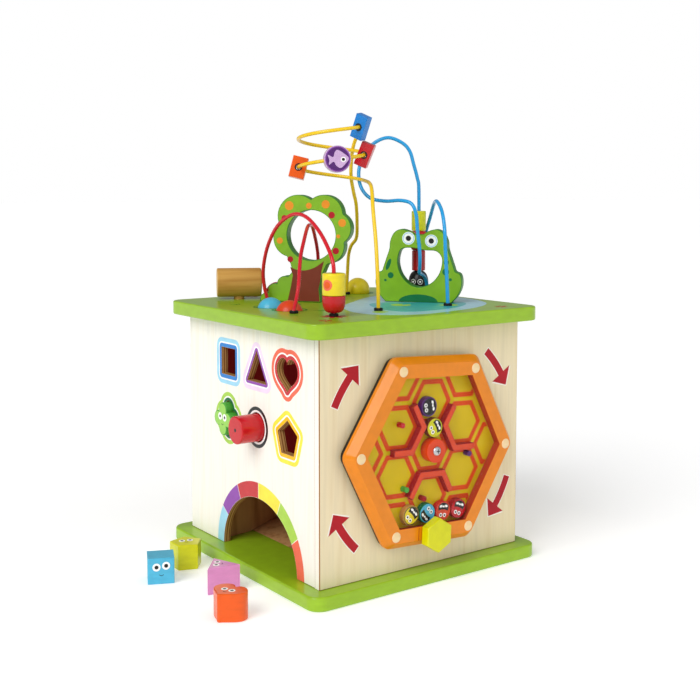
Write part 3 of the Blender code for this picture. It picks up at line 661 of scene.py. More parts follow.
# ---------------------------------------------------------------- the surfaces
GREEN = paint("lime green paint", (146, 186, 30), 0.3, 0.5)
BIRCH_PALE = wood("pale lacquered birch", (247, 243, 233), (242, 235, 220), (11, 0.6, 9))
BIRCH = wood("lacquered birch", (234, 220, 184), (225, 208, 168), (11, 0.6, 9))
# The inside faces of the walls: a dark red that is painted shade, and a red emission that is a
# painted glow of light bounced round inside the box.
INNER = wood("inner wood with painted shade and glow", (136, 58, 40), (104, 36, 26), (11, 0.8, 9), 0.6, 0.0)
dial(shader_of(INNER), Emission_Color=(*linear(92, 14, 16), 1), Emission_Strength=0.5)
# Birch of the posts, ramp and guides inside the box, darker and redder than the walls as painted
# shade.
SHADED_INNER_BIRCH = wood("inner birch darkened as painted shade", (196, 150, 98), (164, 116, 68), (9, 9, 0.7), 0.6, 0.0)
PLY = ply_edge("plywood edge", (196, 150, 92), (138, 88, 44), 5)
BEECH = wood("lacquered beech", (200, 152, 78), (174, 122, 52), (9, 9, 0.8))
END_GRAIN = wood("beech end grain", (226, 188, 130), (206, 160, 96), (6, 6, 6))
DOWEL = wood("dowel end grain", (240, 214, 168), (228, 194, 138), (6, 6, 6))
BOARD_YELLOW = paint("maze yellow", (218, 188, 0), 0.42, 0.2)
FRAME_ORANGE = paint("frame orange", (226, 130, 2), 0.30, 0.45)
# The frame's inner walls and rebate: its orange paint darkened to red as painted shade.
FRAME_INSIDE_SHADE = paint("frame inner wall painted shade", (176, 62, 34), 0.5, 0.1)
RED_ORANGE = paint("red orange", (218, 66, 20), 0.36, 0.3)
ORANGE_RED = paint("printed orange red", (222, 76, 18), 0.45, 0.1)
DARK_RED = paint("dark red", (158, 24, 32), 0.4, 0.2)
CRIMSON = paint("crimson print", (176, 28, 40), 0.5, 0.1)
LIME = paint("lime paint", (212, 212, 0), 0.32, 0.35)
LEAF = paint("leaf green", (126, 176, 28), 0.36, 0.3)
LEAF_EDGE = paint("leaf green edge", (58, 132, 40), 0.42, 0.2)
DEEP_GREEN = paint("deep green print", (20, 112, 66), 0.45, 0.15)
TRUNK = paint("trunk brown", (122, 52, 34), 0.45, 0.15)
RED = paint("red paint", (198, 16, 28), 0.26, 0.5)
YELLOW = paint("yellow paint", (236, 212, 28), 0.28, 0.45)
BLUE = paint("blue paint", (0, 122, 204), 0.28, 0.45)
SKY = paint("sky blue paint", (76, 178, 212), 0.32, 0.35)
PALE_SKY = paint("pale sky print", (160, 214, 238), 0.4, 0.2)
AQUA = paint("aqua print", (170, 216, 230), 0.3, 0.35)
TEAL = paint("teal print", (66, 182, 188), 0.3, 0.35)
ORANGE = paint("bright orange paint", (230, 88, 8), 0.30, 0.4)
AMBER = paint("amber print", (228, 142, 40), 0.42, 0.2)
PURPLE = paint("purple paint", (80, 26, 108), 0.34, 0.3)
LILAC = paint("lilac paint", (200, 166, 208), 0.36, 0.3)
PALE_LILAC = paint("pale lilac print", (238, 214, 238), 0.36, 0.3)
VIOLET = paint("violet print", (146, 78, 172), 0.42, 0.2)
PINK = paint("pink paint", (216, 140, 194), 0.34, 0.3)
CORAL = paint("coral print", (240, 110, 84), 0.42, 0.2)
LEMON = paint("lemon print", (244, 230, 74), 0.42, 0.2)
GOLD = paint("gold print", (246, 190, 30), 0.42, 0.2)
SPRING = paint("spring green print", (172, 212, 84), 0.42, 0.2)
CLOVER_FACE = paint("clover face", (150, 208, 84), 0.36, 0.3)
CLOVER_SIDE = paint("clover side", (70, 158, 52), 0.38, 0.25)
WHITE = paint("white print", (250, 250, 246), 0.4, 0.2)
BLACK = paint("black print", (16, 16, 18), 0.35, 0.3)
WIRE_RED = plastic_coat("red wire", (208, 22, 40))
WIRE_YELLOW = plastic_coat("yellow wire", (240, 200, 24))
WIRE_BLUE = plastic_coat("blue wire", (34, 156, 218))
STEEL = metal("zinc plated steel", (216, 220, 224))
CLEAR = clear("clear acrylic")
RUBBER = rubber("black rubber")


# ---------------------------------------------------------------- the box
def plates():
    def outline():
        reach = PLATE / 2 - PLATE_CORNER
        points = []
        for quarter, (sx, sy) in enumerate(((1, 1), (-1, 1), (-1, -1), (1, -1))):
            for step in range(13):
                a = (quarter + step / 12) * pi / 2
                points.append((sx * reach + PLATE_CORNER * cos(a),
                               sy * reach + PLATE_CORNER * sin(a)))
        return points

    upright = shift(0, 0)
    set_down("green_base", slab([outline()], 0, BASE, PLATE_EDGE), upright, [GREEN, GREEN],
             "cube", ["base_plate"])
    loops = [outline()]
    loops += [circle(BALL_RADIUS + CLEARANCE, 48, spot[:2]) for spot in BALLS.values()]
    loops.append(circle(MALLET_HOLE_RADIUS, 24, MALLET_HOLE))
    set_down("green_top", slab(loops, WALL_TOP, TOP, 2), upright, [GREEN, GREEN], "cube",
             ["top_plate"])


def slot_track(radius):
    """An outline round the back panel's slot, this far from the slot's middle line."""
    half = [(SLOT_REACH + radius * cos(a), SLOT_LEVEL + radius * sin(a))
            for a in (radians(step) for step in range(-90, 91, 15))]
    return half + [(-x, 2 * SLOT_LEVEL - y) for x, y in half]


def panels():
    bottom = BASE + GAP
    top = WALL_TOP - GAP
    inner = INSIDE - GAP

    def sheet(left, right):
        return [(right, bottom), (right, top), (left, top), (left, bottom)]

    steps = 48
    arch = []
    for step in range(steps + 1):
        a = pi - pi * step / steps
        arch.append((ARCH_CENTRE + ARCH_HALF * cos(a), BASE + ARCH_HEIGHT * sin(a)))
    arch[0] = (ARCH_CENTRE - ARCH_HALF, bottom)
    arch[-1] = (ARCH_CENTRE + ARCH_HALF, bottom)
    holes = [moved(hole_outline(name, 0), x, y) for name, (x, y) in HOLES.items()]
    axle_hole = circle(AXLE_HOLE, 16, (0, WHEEL_UP))
    for name, facing, loops in (
            ("sorter", LEFT, [sheet(-HALF, inner) + arch] + holes),
            ("maze", FRONT, [sheet(-HALF, HALF), axle_hole]),
            ("back", BACK, [sheet(-HALF, inner), slot_track(SLOT_RADIUS)]),
            ("right", RIGHT, [sheet(-inner, inner)])):
        look, slot = (BIRCH_PALE, "birch_lacquer") if name == "sorter" else (BIRCH, "birch_ply")
        # The walls' inside faces take INNER, painted shade and a painted glow.
        set_down(f"{name}_wall", slab(loops, -WALL, 0, 0.5, 2, 2), on_face(facing),
                 [look, PLY, INNER], "cube", [f"{name}_panel"])

    lap_end = HALF - 1.6
    lap = [(inner, bottom), (lap_end, bottom), (lap_end, top), (inner, top)]
    marks("corner_veneer", [[lap]], on_face(LEFT), BIRCH_PALE, "cube")
    for number, (x, y, teeth, look) in enumerate(gear_places()):
        neck = GEAR_FRONT + 1
        pin = turned(rounded([(0, 0.1), (PIN_RADIUS, 0.1), (PIN_RADIUS, neck), (PIN_HEAD, neck),
                              (PIN_HEAD, neck + 4), (0, neck + 4)], 1.2))
        set_down(f"gear_pin_{number + 1}", pin, on_face(RIGHT, x, y), [DOWEL], "cube")


def inside():
    """The CAD's posts, ramp, guides and nut stay, with their edges rounded."""
    names = [f"corner_post_{side}_{end}" for side in ("left", "right") for end in ("front", "back")]
    for name in names + ["ramp", "guide_left", "guide_right", "axle_nut"]:
        node = frame["nodes"][name]
        node.data.materials.clear()
        # The posts, ramp and guides take birch darkened as painted shade; the nut takes steel.
        node.data.materials.append(STEEL if name == "axle_nut" else SHADED_INNER_BIRCH)
        edges = node.modifiers.new("Rounded edges", "BEVEL")
        edges.width = 0.8 * MM
        edges.segments = 2
        edges.limit_method = "ANGLE"


def sorter_prints():
    """Coloured rings round the holes, and the rainbow round the doorway."""
    face = on_face(LEFT)
    rings = {"square": (5.4, BLUE, PALE_SKY, "blue_paint"),
             "triangle": (3.9, VIOLET, PALE_LILAC, "purple_paint"),
             "heart": (4.8, RED, CORAL, "red_paint"),
             "clover": (4.2, DEEP_GREEN, SPRING, "leaf_green_paint"),
             "pentagon": (5, GOLD, LEMON, "yellow_paint")}
    for name, (width, ring, halo, slot) in rings.items():
        x, y = HOLES[name]
        loops = [moved(hole_outline(name, growth), x, y)
                 for growth in (0.6, width, width + WHITE_RING, width + WHITE_RING + HALO)]
        marks(f"print_{name}_ring", [[loops[1], loops[0]]], face, ring, "cube")
        marks(f"print_{name}_white", [[loops[2], loops[1]]], face, WHITE, "cube")
        marks(f"print_{name}_halo", [[loops[3], loops[2]]], face, halo, "cube")
    outer, middle, inner = (circle(radius, 56, HOLES["round"])
                            for radius in (25.6, 21.2, ROUND + 0.5))
    marks("print_round_black", [[outer, middle]], face, BLACK, "cube")
    marks("print_round_white", [[middle, inner]], face, WHITE, "cube")

    colours = ((PALE_SKY, "sky_blue_paint"), (VIOLET, "purple_paint"), (RED, "red_paint"),
               (LEMON, "yellow_paint"), (SPRING, "lime_paint"), (CORAL, "bright_orange_paint"))
    for number, (look, slot) in enumerate(colours):
        start = 180 - 30 * number - (0.3 if number else 0.4)
        end = 150 - 30 * number + (0.3 if number < len(colours) - 1 else 0.4)
        angles = [radians(start + (end - start) * step / 10) for step in range(11)]
        band = [(ARCH_CENTRE + (ARCH_HALF + RAINBOW_GAP) * cos(a),
                 BASE + (ARCH_HEIGHT + RAINBOW_GAP) * sin(a)) for a in angles]
        band += [(ARCH_CENTRE + (ARCH_HALF + RAINBOW) * cos(a),
                  BASE + (ARCH_HEIGHT + RAINBOW_TOP) * sin(a)) for a in angles[::-1]]
        marks(f"print_rainbow_{number + 1}", [[band]], face, look, "cube")


def arrows():
    """Four curved arrows that show which way the wheel turns."""
    def arrow(tail, margin):
        slack = margin / ARROW_RADIUS
        start = radians(tail) + slack
        neck = radians(tail - ARROW_SWEEP) - slack
        tip = radians(tail - ARROW_LENGTH) - 1.6 * slack
        half, barb = ARROW_HALF + margin, ARROW_BARB + 1.6 * margin
        sweep = [start + (neck - start) * step / 8 for step in range(9)]
        head = [(ARROW_RADIUS + barb, neck), (ARROW_RADIUS, tip), (ARROW_RADIUS - barb, neck)]
        return polar([(ARROW_RADIUS + half, a) for a in sweep] + head
                     + [(ARROW_RADIUS - half, a) for a in sweep[::-1]])

    face = on_face(FRONT, 0, WHEEL_UP)
    tails = (154.5, 47.6, -22, 226.2)
    for name, margin, look, slot, level in (
            ("print_arrow_edges", 1.1, BIRCH_PALE, "birch_lacquer", 0),
            ("print_arrows", 0, CRIMSON, "red_paint", 1)):
        marks(name, [[arrow(tail, margin)] for tail in tails], face, look, "cube", level)


# ---------------------------------------------------------------- shape sorter blocks
LOOSE = {
    # distance from the sorter face, position along it, turn, paint, slot
    "square": (109, 30, radians(-24), SKY, "sky_blue_paint"),
    "pentagon": (60, 57, radians(-20), LIME, "lime_paint"),
    "triangle": (67, -43, radians(-9), PINK, "pink_paint"),
    "heart": (104, -125, radians(-70), ORANGE, "bright_orange_paint"),
}


def blocks():
    for name, (away, along, turn, look, slot) in LOOSE.items():
        body = f"block_{name}"
        outline = hole_outline(name, -CLEARANCE)
        spot = shift(-HALF - away, along)
        place = spot @ spin(turn)
        if name == "square":
            lying = place @ shift(0, 0, SQUARE / 2 - CLEARANCE) @ spin(pi / 2, "X")
            shape = slab([outline], -BLOCK_LENGTH / 2, BLOCK_LENGTH / 2, 1.4)
            shape.transform(spot.inverted() @ lying)
            set_down("toy_square", shape, spot, [look, look], body, [body])
            front = lying @ shift(0, 0, BLOCK_LENGTH / 2)
            eyes("square", [(-5.5, 5, 4.8), (6, 6.4, 4.8)], front, body, 0.5)
            smile("square", 0.3, -4.5, 5.4, front, body)
            continue
        shape = slab([outline], 0, BLOCK_LENGTH, 1.4)
        shape.transform(spin(turn))
        set_down(f"toy_{name}", shape, spot, [look, look], body, [body])
        face_turn, low = {"pentagon": (0, 2), "triangle": (radians(60), 4), "heart": (0, 1)}[name]
        front = place @ shift(0, 0, BLOCK_LENGTH) @ spin(face_turn)
        eyes(name, [(-5, low, 3.9), (5.2, low + 0.5, 3.9)], front, body, 0.5)
        smile(name, 0, low - 6, 5, front, body)

    place = on_face(LEFT, *HOLES["clover"], CLOVER_OUT)
    set_down("toy_clover", slab([clover(-CLEARANCE)], -BLOCK_LENGTH, 0, 1.2), place,
             [CLOVER_FACE, CLOVER_SIDE], "block_clover", ["block_clover"])
    eyes("clover", [(-5.6, 3, 4.7), (5.6, 2.4, 4.7)], place, "block_clover", 0.4)
    smile("clover", 0, -6.5, 5, place, "block_clover")
    place = on_face(LEFT, *HOLES["round"], ROUND_OUT)
    radius = ROUND - CLEARANCE
    barrel = rounded([(0, -ROUND_LENGTH), (radius, -ROUND_LENGTH), (radius, 0), (0, 0)], 1.6)
    set_down("toy_round", turned(barrel), place, [RED], "block_round", ["block_round"])
    # A black disc painted on the block's end: painted shade standing for the dark inside of its
    # bore.
    marks("round_bore_shade", [[circle(2.2, 24)]], place, BLACK, "block_round")


# ---------------------------------------------------------------- maze wheel
def hexagon(radius, start=0.0):
    return corners_of(6, radius, start)


def soft_hexagon(radius, corner):
    """A hexagon whose corners are rounded."""
    return grown(hexagon(radius - corner / cos(pi / 6)), corner, 5)


def clipped(outline, window):
    """The part of a convex outline inside a convex, anticlockwise window."""
    kept = outline
    for start, end in zip(window, window[1:] + window[:1]):
        along = Vector(end) - Vector(start)
        result = []
        for before, here in zip([kept[-1]] + kept[:-1], kept):
            sides = [along.x * (y - start[1]) - along.y * (x - start[0]) for x, y in (before, here)]
            if sides[0] * sides[1] < 0:
                share = sides[0] / (sides[0] - sides[1])
                result.append((before[0] + (here[0] - before[0]) * share,
                               before[1] + (here[1] - before[1]) * share))
            if sides[1] >= 0:
                result.append(here)
        kept = result
        if len(kept) < 3:
            return []
    return kept


def ridge(turn):
    """One raised wall of the maze: a spoke, a side of the middle cell and a second spoke."""
    corner = CELL / sqrt(3)
    route = [(2 * corner * 0.96, turn + radians(120)), (corner, turn + radians(120)),
             (corner, turn + radians(180)), (2 * corner * 0.9, turn + radians(180))]
    line = [Vector(point) for point in polar(route)]
    sides = ([], [])
    for index, point in enumerate(line):
        before = (point - line[index - 1]).normalized() if index else None
        after = (line[index + 1] - point).normalized() if index + 1 < len(line) else None
        first = before or after
        second = after or before
        bend = (first.orthogonal() + second.orthogonal()).normalized()
        reach = RIDGE_HALF / bend.dot(first.orthogonal())
        sides[0].append(tuple(point + bend * reach))
        sides[1].append(tuple(point - bend * reach))
    return sides[0] + sides[1][::-1]


def maze_board(wheel):
    """The printed board with its three raised ridges and four pegs."""
    loops = [soft_hexagon(WHEEL_RADIUS - 2, 13), circle(AXLE_HOLE, 16)]
    board = slab(loops, WHEEL_BACK, WHEEL_FACE, 0.8, 2)
    # The board's sides are black: painted shadow in the gap between the board, the frame and the
    # wall.
    set_down("honeycomb_board", board, wheel, [BOARD_YELLOW, BLACK], "wheel",
             ["wheel_board"])
    for number in range(3):
        # Each ridge's top is red orange and its sides dark red, which is painted shade on the
        # sides.
        wall = slab([ridge(-radians(120) * number)], WHEEL_FACE, WINDOW_BACK - GAP, 0.7, 2)
        set_down(f"honeycomb_ridge_{number + 1}", wall, wheel, [RED_ORANGE, DARK_RED], "wheel")

    window = hexagon(FRAME_INNER + 2.5)
    middles = [(0, 0)] + polar([(CELL, radians(30) + a) for a in around(6)])
    middles += polar([(CELL * sqrt(3), a) for a in around(6)])
    bands = []
    for x, y in middles:
        inner, outer = (moved(hexagon(reach / cos(pi / 6)), x, y)
                        for reach in (LINE_INNER, LINE_OUTER))
        for side in range(6):
            after = (side + 1) % 6
            band = clipped([inner[side], outer[side], outer[after], inner[after]], window)
            if band and abs(area(band)) > 1:
                bands.append([band])
    marks("honeycomb_lines", bands, wheel @ shift(0, 0, WHEEL_FACE), ORANGE_RED, "wheel")
    for name, turn, look, slot in (("red", 146, RED, "red_paint"),
                                   ("purple", -9, PURPLE, "purple_paint"),
                                   ("green", 229, CLOVER_SIDE, "leaf_green_paint"),
                                   ("maroon", 259.5, DARK_RED, "red_paint")):
        peg = turned(rounded([(0, WHEEL_FACE - 1), (PEG_RADIUS, WHEEL_FACE - 1),
                              (PEG_RADIUS, WINDOW_BACK - GAP), (0, WINDOW_BACK - GAP)], 0.8), 24)
        spot = wheel @ shift(*polar([(PEG_CIRCLE, radians(turn))])[0])
        set_down(f"peg_{name}", peg, spot, [look], "wheel")


def maze_frame(wheel):
    """The chamfered frame with its seam, dowel caps, window and knob."""
    rebate = FRAME_INNER + 3
    crest = WHEEL_RADIUS - FRAME_CHAMFER
    shape = bmesh.new()
    # distance to its corners, height and how round its corners are, all the way round its section
    section = ((WHEEL_RADIUS, WHEEL_FACE + GAP, 13),
               (WHEEL_RADIUS, WHEEL_FRONT - FRAME_CHAMFER, 13),
               (crest, WHEEL_FRONT, 9), (FRAME_INNER, WHEEL_FRONT, 0.4),
               (FRAME_INNER, WINDOW_FRONT + GAP, 0.4), (rebate, WINDOW_FRONT + GAP, 0.4),
               (rebate, WHEEL_FACE + GAP, 0.4))
    rings = [[shape.verts.new((x, y, z)) for x, y in soft_hexagon(radius, corner)]
             for radius, z, corner in section]
    for number, (lower, upper) in enumerate(zip(rings, rings[1:] + rings[:1])):
        # The inner wall and the rebate take the darker red, painted shade.
        bridge(shape, lower, upper, 1 if number in (3, 4, 5) else 0)
    set_down("orange_frame", shape, wheel, [FRAME_ORANGE, FRAME_INSIDE_SHADE], "wheel",
             ["wheel_frame"], 30)
    top = wheel @ shift(0, 0, WHEEL_FRONT)
    high, low = -FRAME_INNER * cos(pi / 6) - 1, -crest * cos(pi / 6)
    seam = [(-22.4, high), (-21.6, high), (-21.6, low), (-22.4, low)]
    marks("frame_seam", [[seam]], top, DARK_RED, "wheel")
    for number, (x, y) in enumerate(polar([(CAP_CIRCLE, a) for a in around(6)])):
        cap = turned(rounded([(0, -0.2), (CAP_RADIUS, -0.2), (CAP_RADIUS, 0.7), (0, 0.9)], 0.5), 32)
        set_down(f"dowel_cap_{number + 1}", cap, top @ shift(x, y), [DOWEL], "wheel")

    pane = slab([hexagon(rebate - GAP), circle(HUB_RADIUS + 0.6, 48)], WINDOW_BACK, WINDOW_FRONT)
    set_down("maze_window", pane, wheel, [CLEAR, CLEAR], "wheel", ["wheel_window"])
    middle = (WHEEL_RADIUS - FRAME_CHAMFER / 2 + FRAME_INNER) / 2 * cos(pi / 6)
    knob = slab([hexagon(KNOB_RADIUS, pi / 6)], WHEEL_FRONT + GAP, WHEEL_FRONT + KNOB_HIGH, 1.6)
    set_down("lime_knob", knob, wheel @ shift(0, -middle), [LIME, LIME], "wheel",
             ["wheel_knob"])


def maze_hub(wheel):
    """The hub, and the screw that it turns on."""
    hub = turned(rounded([(AXLE_HOLE, WHEEL_FACE + GAP), (HUB_RADIUS, WHEEL_FACE + GAP),
                          (HUB_RADIUS, WHEEL_FRONT), (AXLE_HOLE, WHEEL_FRONT)], 1.5))
    set_down("red_hub", hub, wheel, [RED_ORANGE], "wheel", ["wheel_hub"])
    head = ((AXLE_RADIUS, GAP), (5.6, GAP), (5.4, 1.2), (4.2, 2.4), (2, 2.9), (0, 3))
    screw = [(0, -WALL - 9), (AXLE_RADIUS, -WALL - 9)] + [(x, WHEEL_FRONT + up) for x, up in head]
    face = on_face(FRONT, 0, WHEEL_UP)
    set_down("hub_screw", turned(screw, 32), face, [STEEL], "cube", ["axle_screw"])
    arm, half = 2.6, 0.6
    cross = [(half, half), (half, arm), (-half, arm), (-half, half), (-arm, half), (-arm, -half),
             (-half, -half), (-half, -arm), (half, -arm), (half, -half), (arm, -half), (arm, half)]
    # A black cross painted on the screw head: painted shade standing for its cross recess.
    marks("screw_cross_shade", [[cross]], face @ shift(0, 0, WHEEL_FRONT + 2.75), BLACK, "cube",
          2)


def maze_wheel():
    wheel = on_face(FRONT, 0, WHEEL_UP) @ spin(WHEEL_TURN)
    maze_board(wheel)
    maze_frame(wheel)
    maze_hub(wheel)
    counters(wheel)


def counters(wheel):
    """Six wooden counters with a bug on each face."""
    low = -FRAME_INNER * cos(pi / 6) + COUNTER_RADIUS + 1.2
    across = 2 * COUNTER_RADIUS + 0.8
    spots = {
        "purple": (-10, 53, BLACK, PURPLE, 0.2), "lime": (0.2, 27, LIME, TRUNK, 0.5),
        "yellow": (-1.22 * across, low, YELLOW, BEECH, 0.75),
        "blue": (-0.22 * across, low, SKY, DEEP_GREEN, -2.4),
        "orange": (0.78 * across, low, RED_ORANGE, RED, 1.45),
        "red": (1.78 * across, low, RED, DARK_RED, 1.2),
    }
    for name, (x, y, look, side, turn) in spots.items():
        body = f"counter_{name}"
        place = wheel @ shift(x, y, WHEEL_FACE + GAP)
        disc = slab([circle(COUNTER_RADIUS, 48)], 0, COUNTER_HIGH, 0.8)
        set_down(f"bug_{name}", disc, place, [look, side], body, [body])
        face = place @ shift(0, 0, COUNTER_HIGH) @ spin(turn)
        angles = [radians(-62 + 124 * step / 12) for step in range(13)]
        stripe = [(1.5 + 8.6 * cos(a), 9.4 * sin(a)) for a in angles]
        stripe += [(-1.0 + 2.8 * cos(a), 8.4 * sin(a)) for a in angles[::-3]]
        marks(f"bug_{name}_wing", [[stripe]], face, BLACK, body)
        dots = [[oval(1.5, 2.3, (5.6, 4.3), 0.3)], [oval(1.5, 2.3, (6.0, -4.0), -0.3)],
                [oval(1.2, 1.8, (5.4, 0.2))]]
        marks(f"bug_{name}_spots", dots, face, WHITE, body, 1)
        eyes(f"bug_{name}", [(-5, 3, 2.5), (-5, -3, 2.5)], face, body, 0.48)
        marks(f"bug_{name}_rim", [[circle(11.1, 48), circle(10.3, 48)]], face,
              {"yellow": BLACK, "purple": PURPLE}.get(name, look), body, 2)


# ---------------------------------------------------------------- gears and sliders
def gear_places():
    """Middle across and up the face, the teeth and the paint of each gear in the train."""
    x, y = -62, WALL_TOP - 116
    before = 18
    places = [(x, y, before, RED)]
    for angle, teeth, look in zip(GEAR_ANGLES, (12, 15), (YELLOW, BLUE)):
        reach = (before + teeth) * TOOTH
        x += reach * cos(angle)
        y += reach * sin(angle)
        places.append((x, y, teeth, look))
        before = teeth
    return places


def gears():
    phase = GEAR_ANGLES[0]
    places = gear_places()
    for number, (x, y, teeth, look) in enumerate(places):
        if number:
            contact = GEAR_ANGLES[number - 1]
            turn_before = (contact - phase) * places[number - 1][2]
            phase = contact + pi - (pi - turn_before) / teeth
        pitch = teeth * TOOTH - 1
        outline = polar([(pitch + TOOTH_DEPTH * cos(teeth * a), a + phase)
                         for a in around(teeth * 12)])
        body = f"gear_{number + 1}"
        place = on_face(RIGHT, x, y)
        shape = slab([outline, circle(GEAR_HOLE, 40)], GEAR_BACK, GEAR_FRONT, 0.7)
        set_down(f"wooden_{body}", shape, place, [look, look], body, [body])
        face = place @ shift(0, 0, GEAR_FRONT)
        middle = (PIN_HEAD + pitch) / 2
        dots = [[circle(2.6, 20, spot)] for spot in polar([(middle, a) for a in around(6)])]
        marks(f"{body}_dots", dots, face, WHITE, body)
        marks(f"{body}_ring", [[circle(pitch - 3.6, 64), circle(pitch - 4.8, 64)]], face, WHITE,
              body)


def sliders():
    """Two knobs, each with a disc behind the panel, and the prints round their slot."""
    back, disc, front = -WALL - 6, -WALL - 1, 15
    profile = [(0, back), (10.2, back), (10.2, disc), (5.2, disc), (5.2, 1), (front, 1),
               (front, 11), (11, front), (0, front)]
    for number, (x, look, slot) in enumerate(((-55, ORANGE, "bright_orange_paint"),
                                              (35, PURPLE, "purple_paint"))):
        body = f"slider_{number + 1}"
        place = on_face(BACK, x, SLOT_LEVEL)
        set_down(f"knob_{body}", turned(rounded(profile, 1.5)), place, [look], body, [body])
        face = place @ shift(0, 0, front)
        eyes(body, [(-4, 1, 2.6), (4, 1, 2.6)], face, body)
        smile(body, 0, -3.6, 4.4, face, body)
    face = on_face(BACK)
    marks("print_track", [[slot_track(11), slot_track(7)]], face, SPRING, "cube")
    marks("print_track_edge", [[slot_track(14.5), slot_track(12.5)]], face, LEAF, "cube")


# ---------------------------------------------------------------- figures and the printed pond
def both_sides(name, outlines, foot, look, level=0):
    """The same marks on the front and the back of a wooden figure."""
    front = standing(foot)
    marks(name, outlines, front, look, "cube", level)
    mirrored = [[[(-x, y) for x, y in loop] for loop in loops] for loops in outlines]
    back = front @ shift(0, 0, -FIGURE_THICKNESS) @ spin(pi, "Y")
    marks(name + "_back", mirrored, back, look, "cube", level)


def tree():
    crown = [(-8, 113, 28), (27, 115, 26), (42, 97, 22), (32, 74, 23), (-17, 84, 25), (0, 66, 24),
             (20, 66, 20)]
    middle = (10, 88)
    outline = [(23, 0), (21, 18), (25, 36)]
    outline += lobes(crown, middle, radians(-62), radians(232), 150) + [(-16, 40)]
    for x, y, radius, start, end in ((-26, 22, 12, 70, 150), (-40, 13, 11, 75, 150),
                                     (-51, 2, 10, 80, 168)):
        for step in range(9):
            a = radians(start + (end - start) * step / 8)
            outline.append((x + radius * cos(a), y + radius * sin(a)))
    outline.append((-61, 0))
    shape = slab([outline, circle(33, 64, middle)], -FIGURE_THICKNESS, 0, 0.9)
    set_down("toy_tree", shape, standing(TREE_FOOT), [LEAF, LEAF_EDGE], "cube",
             ["tree"])
    oranges = [(-19.8, 126.7, 6), (29.8, 128.6, 5.5), (52, 104.5, 5.2), (7, 126.7, 3.9),
               (-33, 80.6, 4.2), (46.8, 87, 2.6)]
    cherries = [(37.9, 114.6, 4.4), (43.4, 67.9, 4.4), (-18.6, 56.3, 4), (-26.6, 110.4, 4)]
    both_sides("tree_oranges", [[circle(r, 28, (x, y))] for x, y, r in oranges], TREE_FOOT, AMBER)
    both_sides("tree_cherries", [[circle(r, 28, (x, y))] for x, y, r in cherries], TREE_FOOT,
               CRIMSON)
    hollow = smooth_outline([(-18.8, 46), (-10, 42.6), (2, 41.9), (15, 46), (27.5, 54.5)], 4, False)
    trunk = [(-22.6, 1), (-18, 20), (-15.2, 35.4)] + hollow
    trunk += [(24.2, 42), (22.8, 30), (20, 18), (21.6, 1)]
    both_sides("tree_trunk", [[trunk]], TREE_FOOT, TRUNK)


def frog():
    half = [(6, 89), (13, 93.5), (24, 96), (33, 91), (38, 80), (39, 70), (43, 58), (47, 46),
            (49, 41), (55, 38), (57.5, 30), (57, 20), (52, 9), (44, 0)]
    side = smooth_outline(half, 4, False)
    mouth = [(-22, 70), (-9, 71.5), (8, 68.5), (23, 67.5), (30.5, 60), (31, 50), (27, 37),
             (17, 25.5), (2, 20), (-12, 24), (-23, 36), (-27.5, 50), (-26.5, 62)]
    hole = smooth_outline(mouth, 5)
    outline = side[::-1] + [(-x, y) for x, y in side]
    shape = slab([outline, hole], -FIGURE_THICKNESS, 0, 0.9)
    set_down("toy_frog", shape, standing(FROG_FOOT), [LEAF, LEAF_EDGE], "cube",
             ["frog"])
    spots = [[oval(2.6, 8, (-40, 49.4), -0.35)], [circle(4, 24, (-37, 35))],
             [circle(1.7, 16, (-44, 28.4))], [circle(3.5, 24, (37, 53))],
             [circle(4.5, 24, (36.4, 40.5))], [circle(2, 16, (42.5, 30.5))]]
    belly = [(26 * cos(a), 0.8 + 9.6 * sin(a)) for a in (pi * step / 16 for step in range(17))]
    both_sides("frog_spots", spots + [[belly]], FROG_FOOT, DEEP_GREEN)
    looking = [(-13.3, 84), (17.1, 80.8)]
    both_sides("frog_eyes", [[circle(8.4, 36, spot)] for spot in looking], FROG_FOOT, WHITE)
    both_sides("frog_irises", [[circle(7.6, 36, spot), circle(6.6, 36, spot)] for spot in looking],
               FROG_FOOT, PALE_SKY, 1)
    both_sides("frog_pupils", [[circle(3.5, 28, spot)] for spot in looking], FROG_FOOT, BLACK,
               2)
    both_sides("frog_nostrils", [[circle(0.9, 12, (-1.5, 77))], [circle(0.9, 12, (3, 76.6))]],
               FROG_FOOT, DEEP_GREEN)


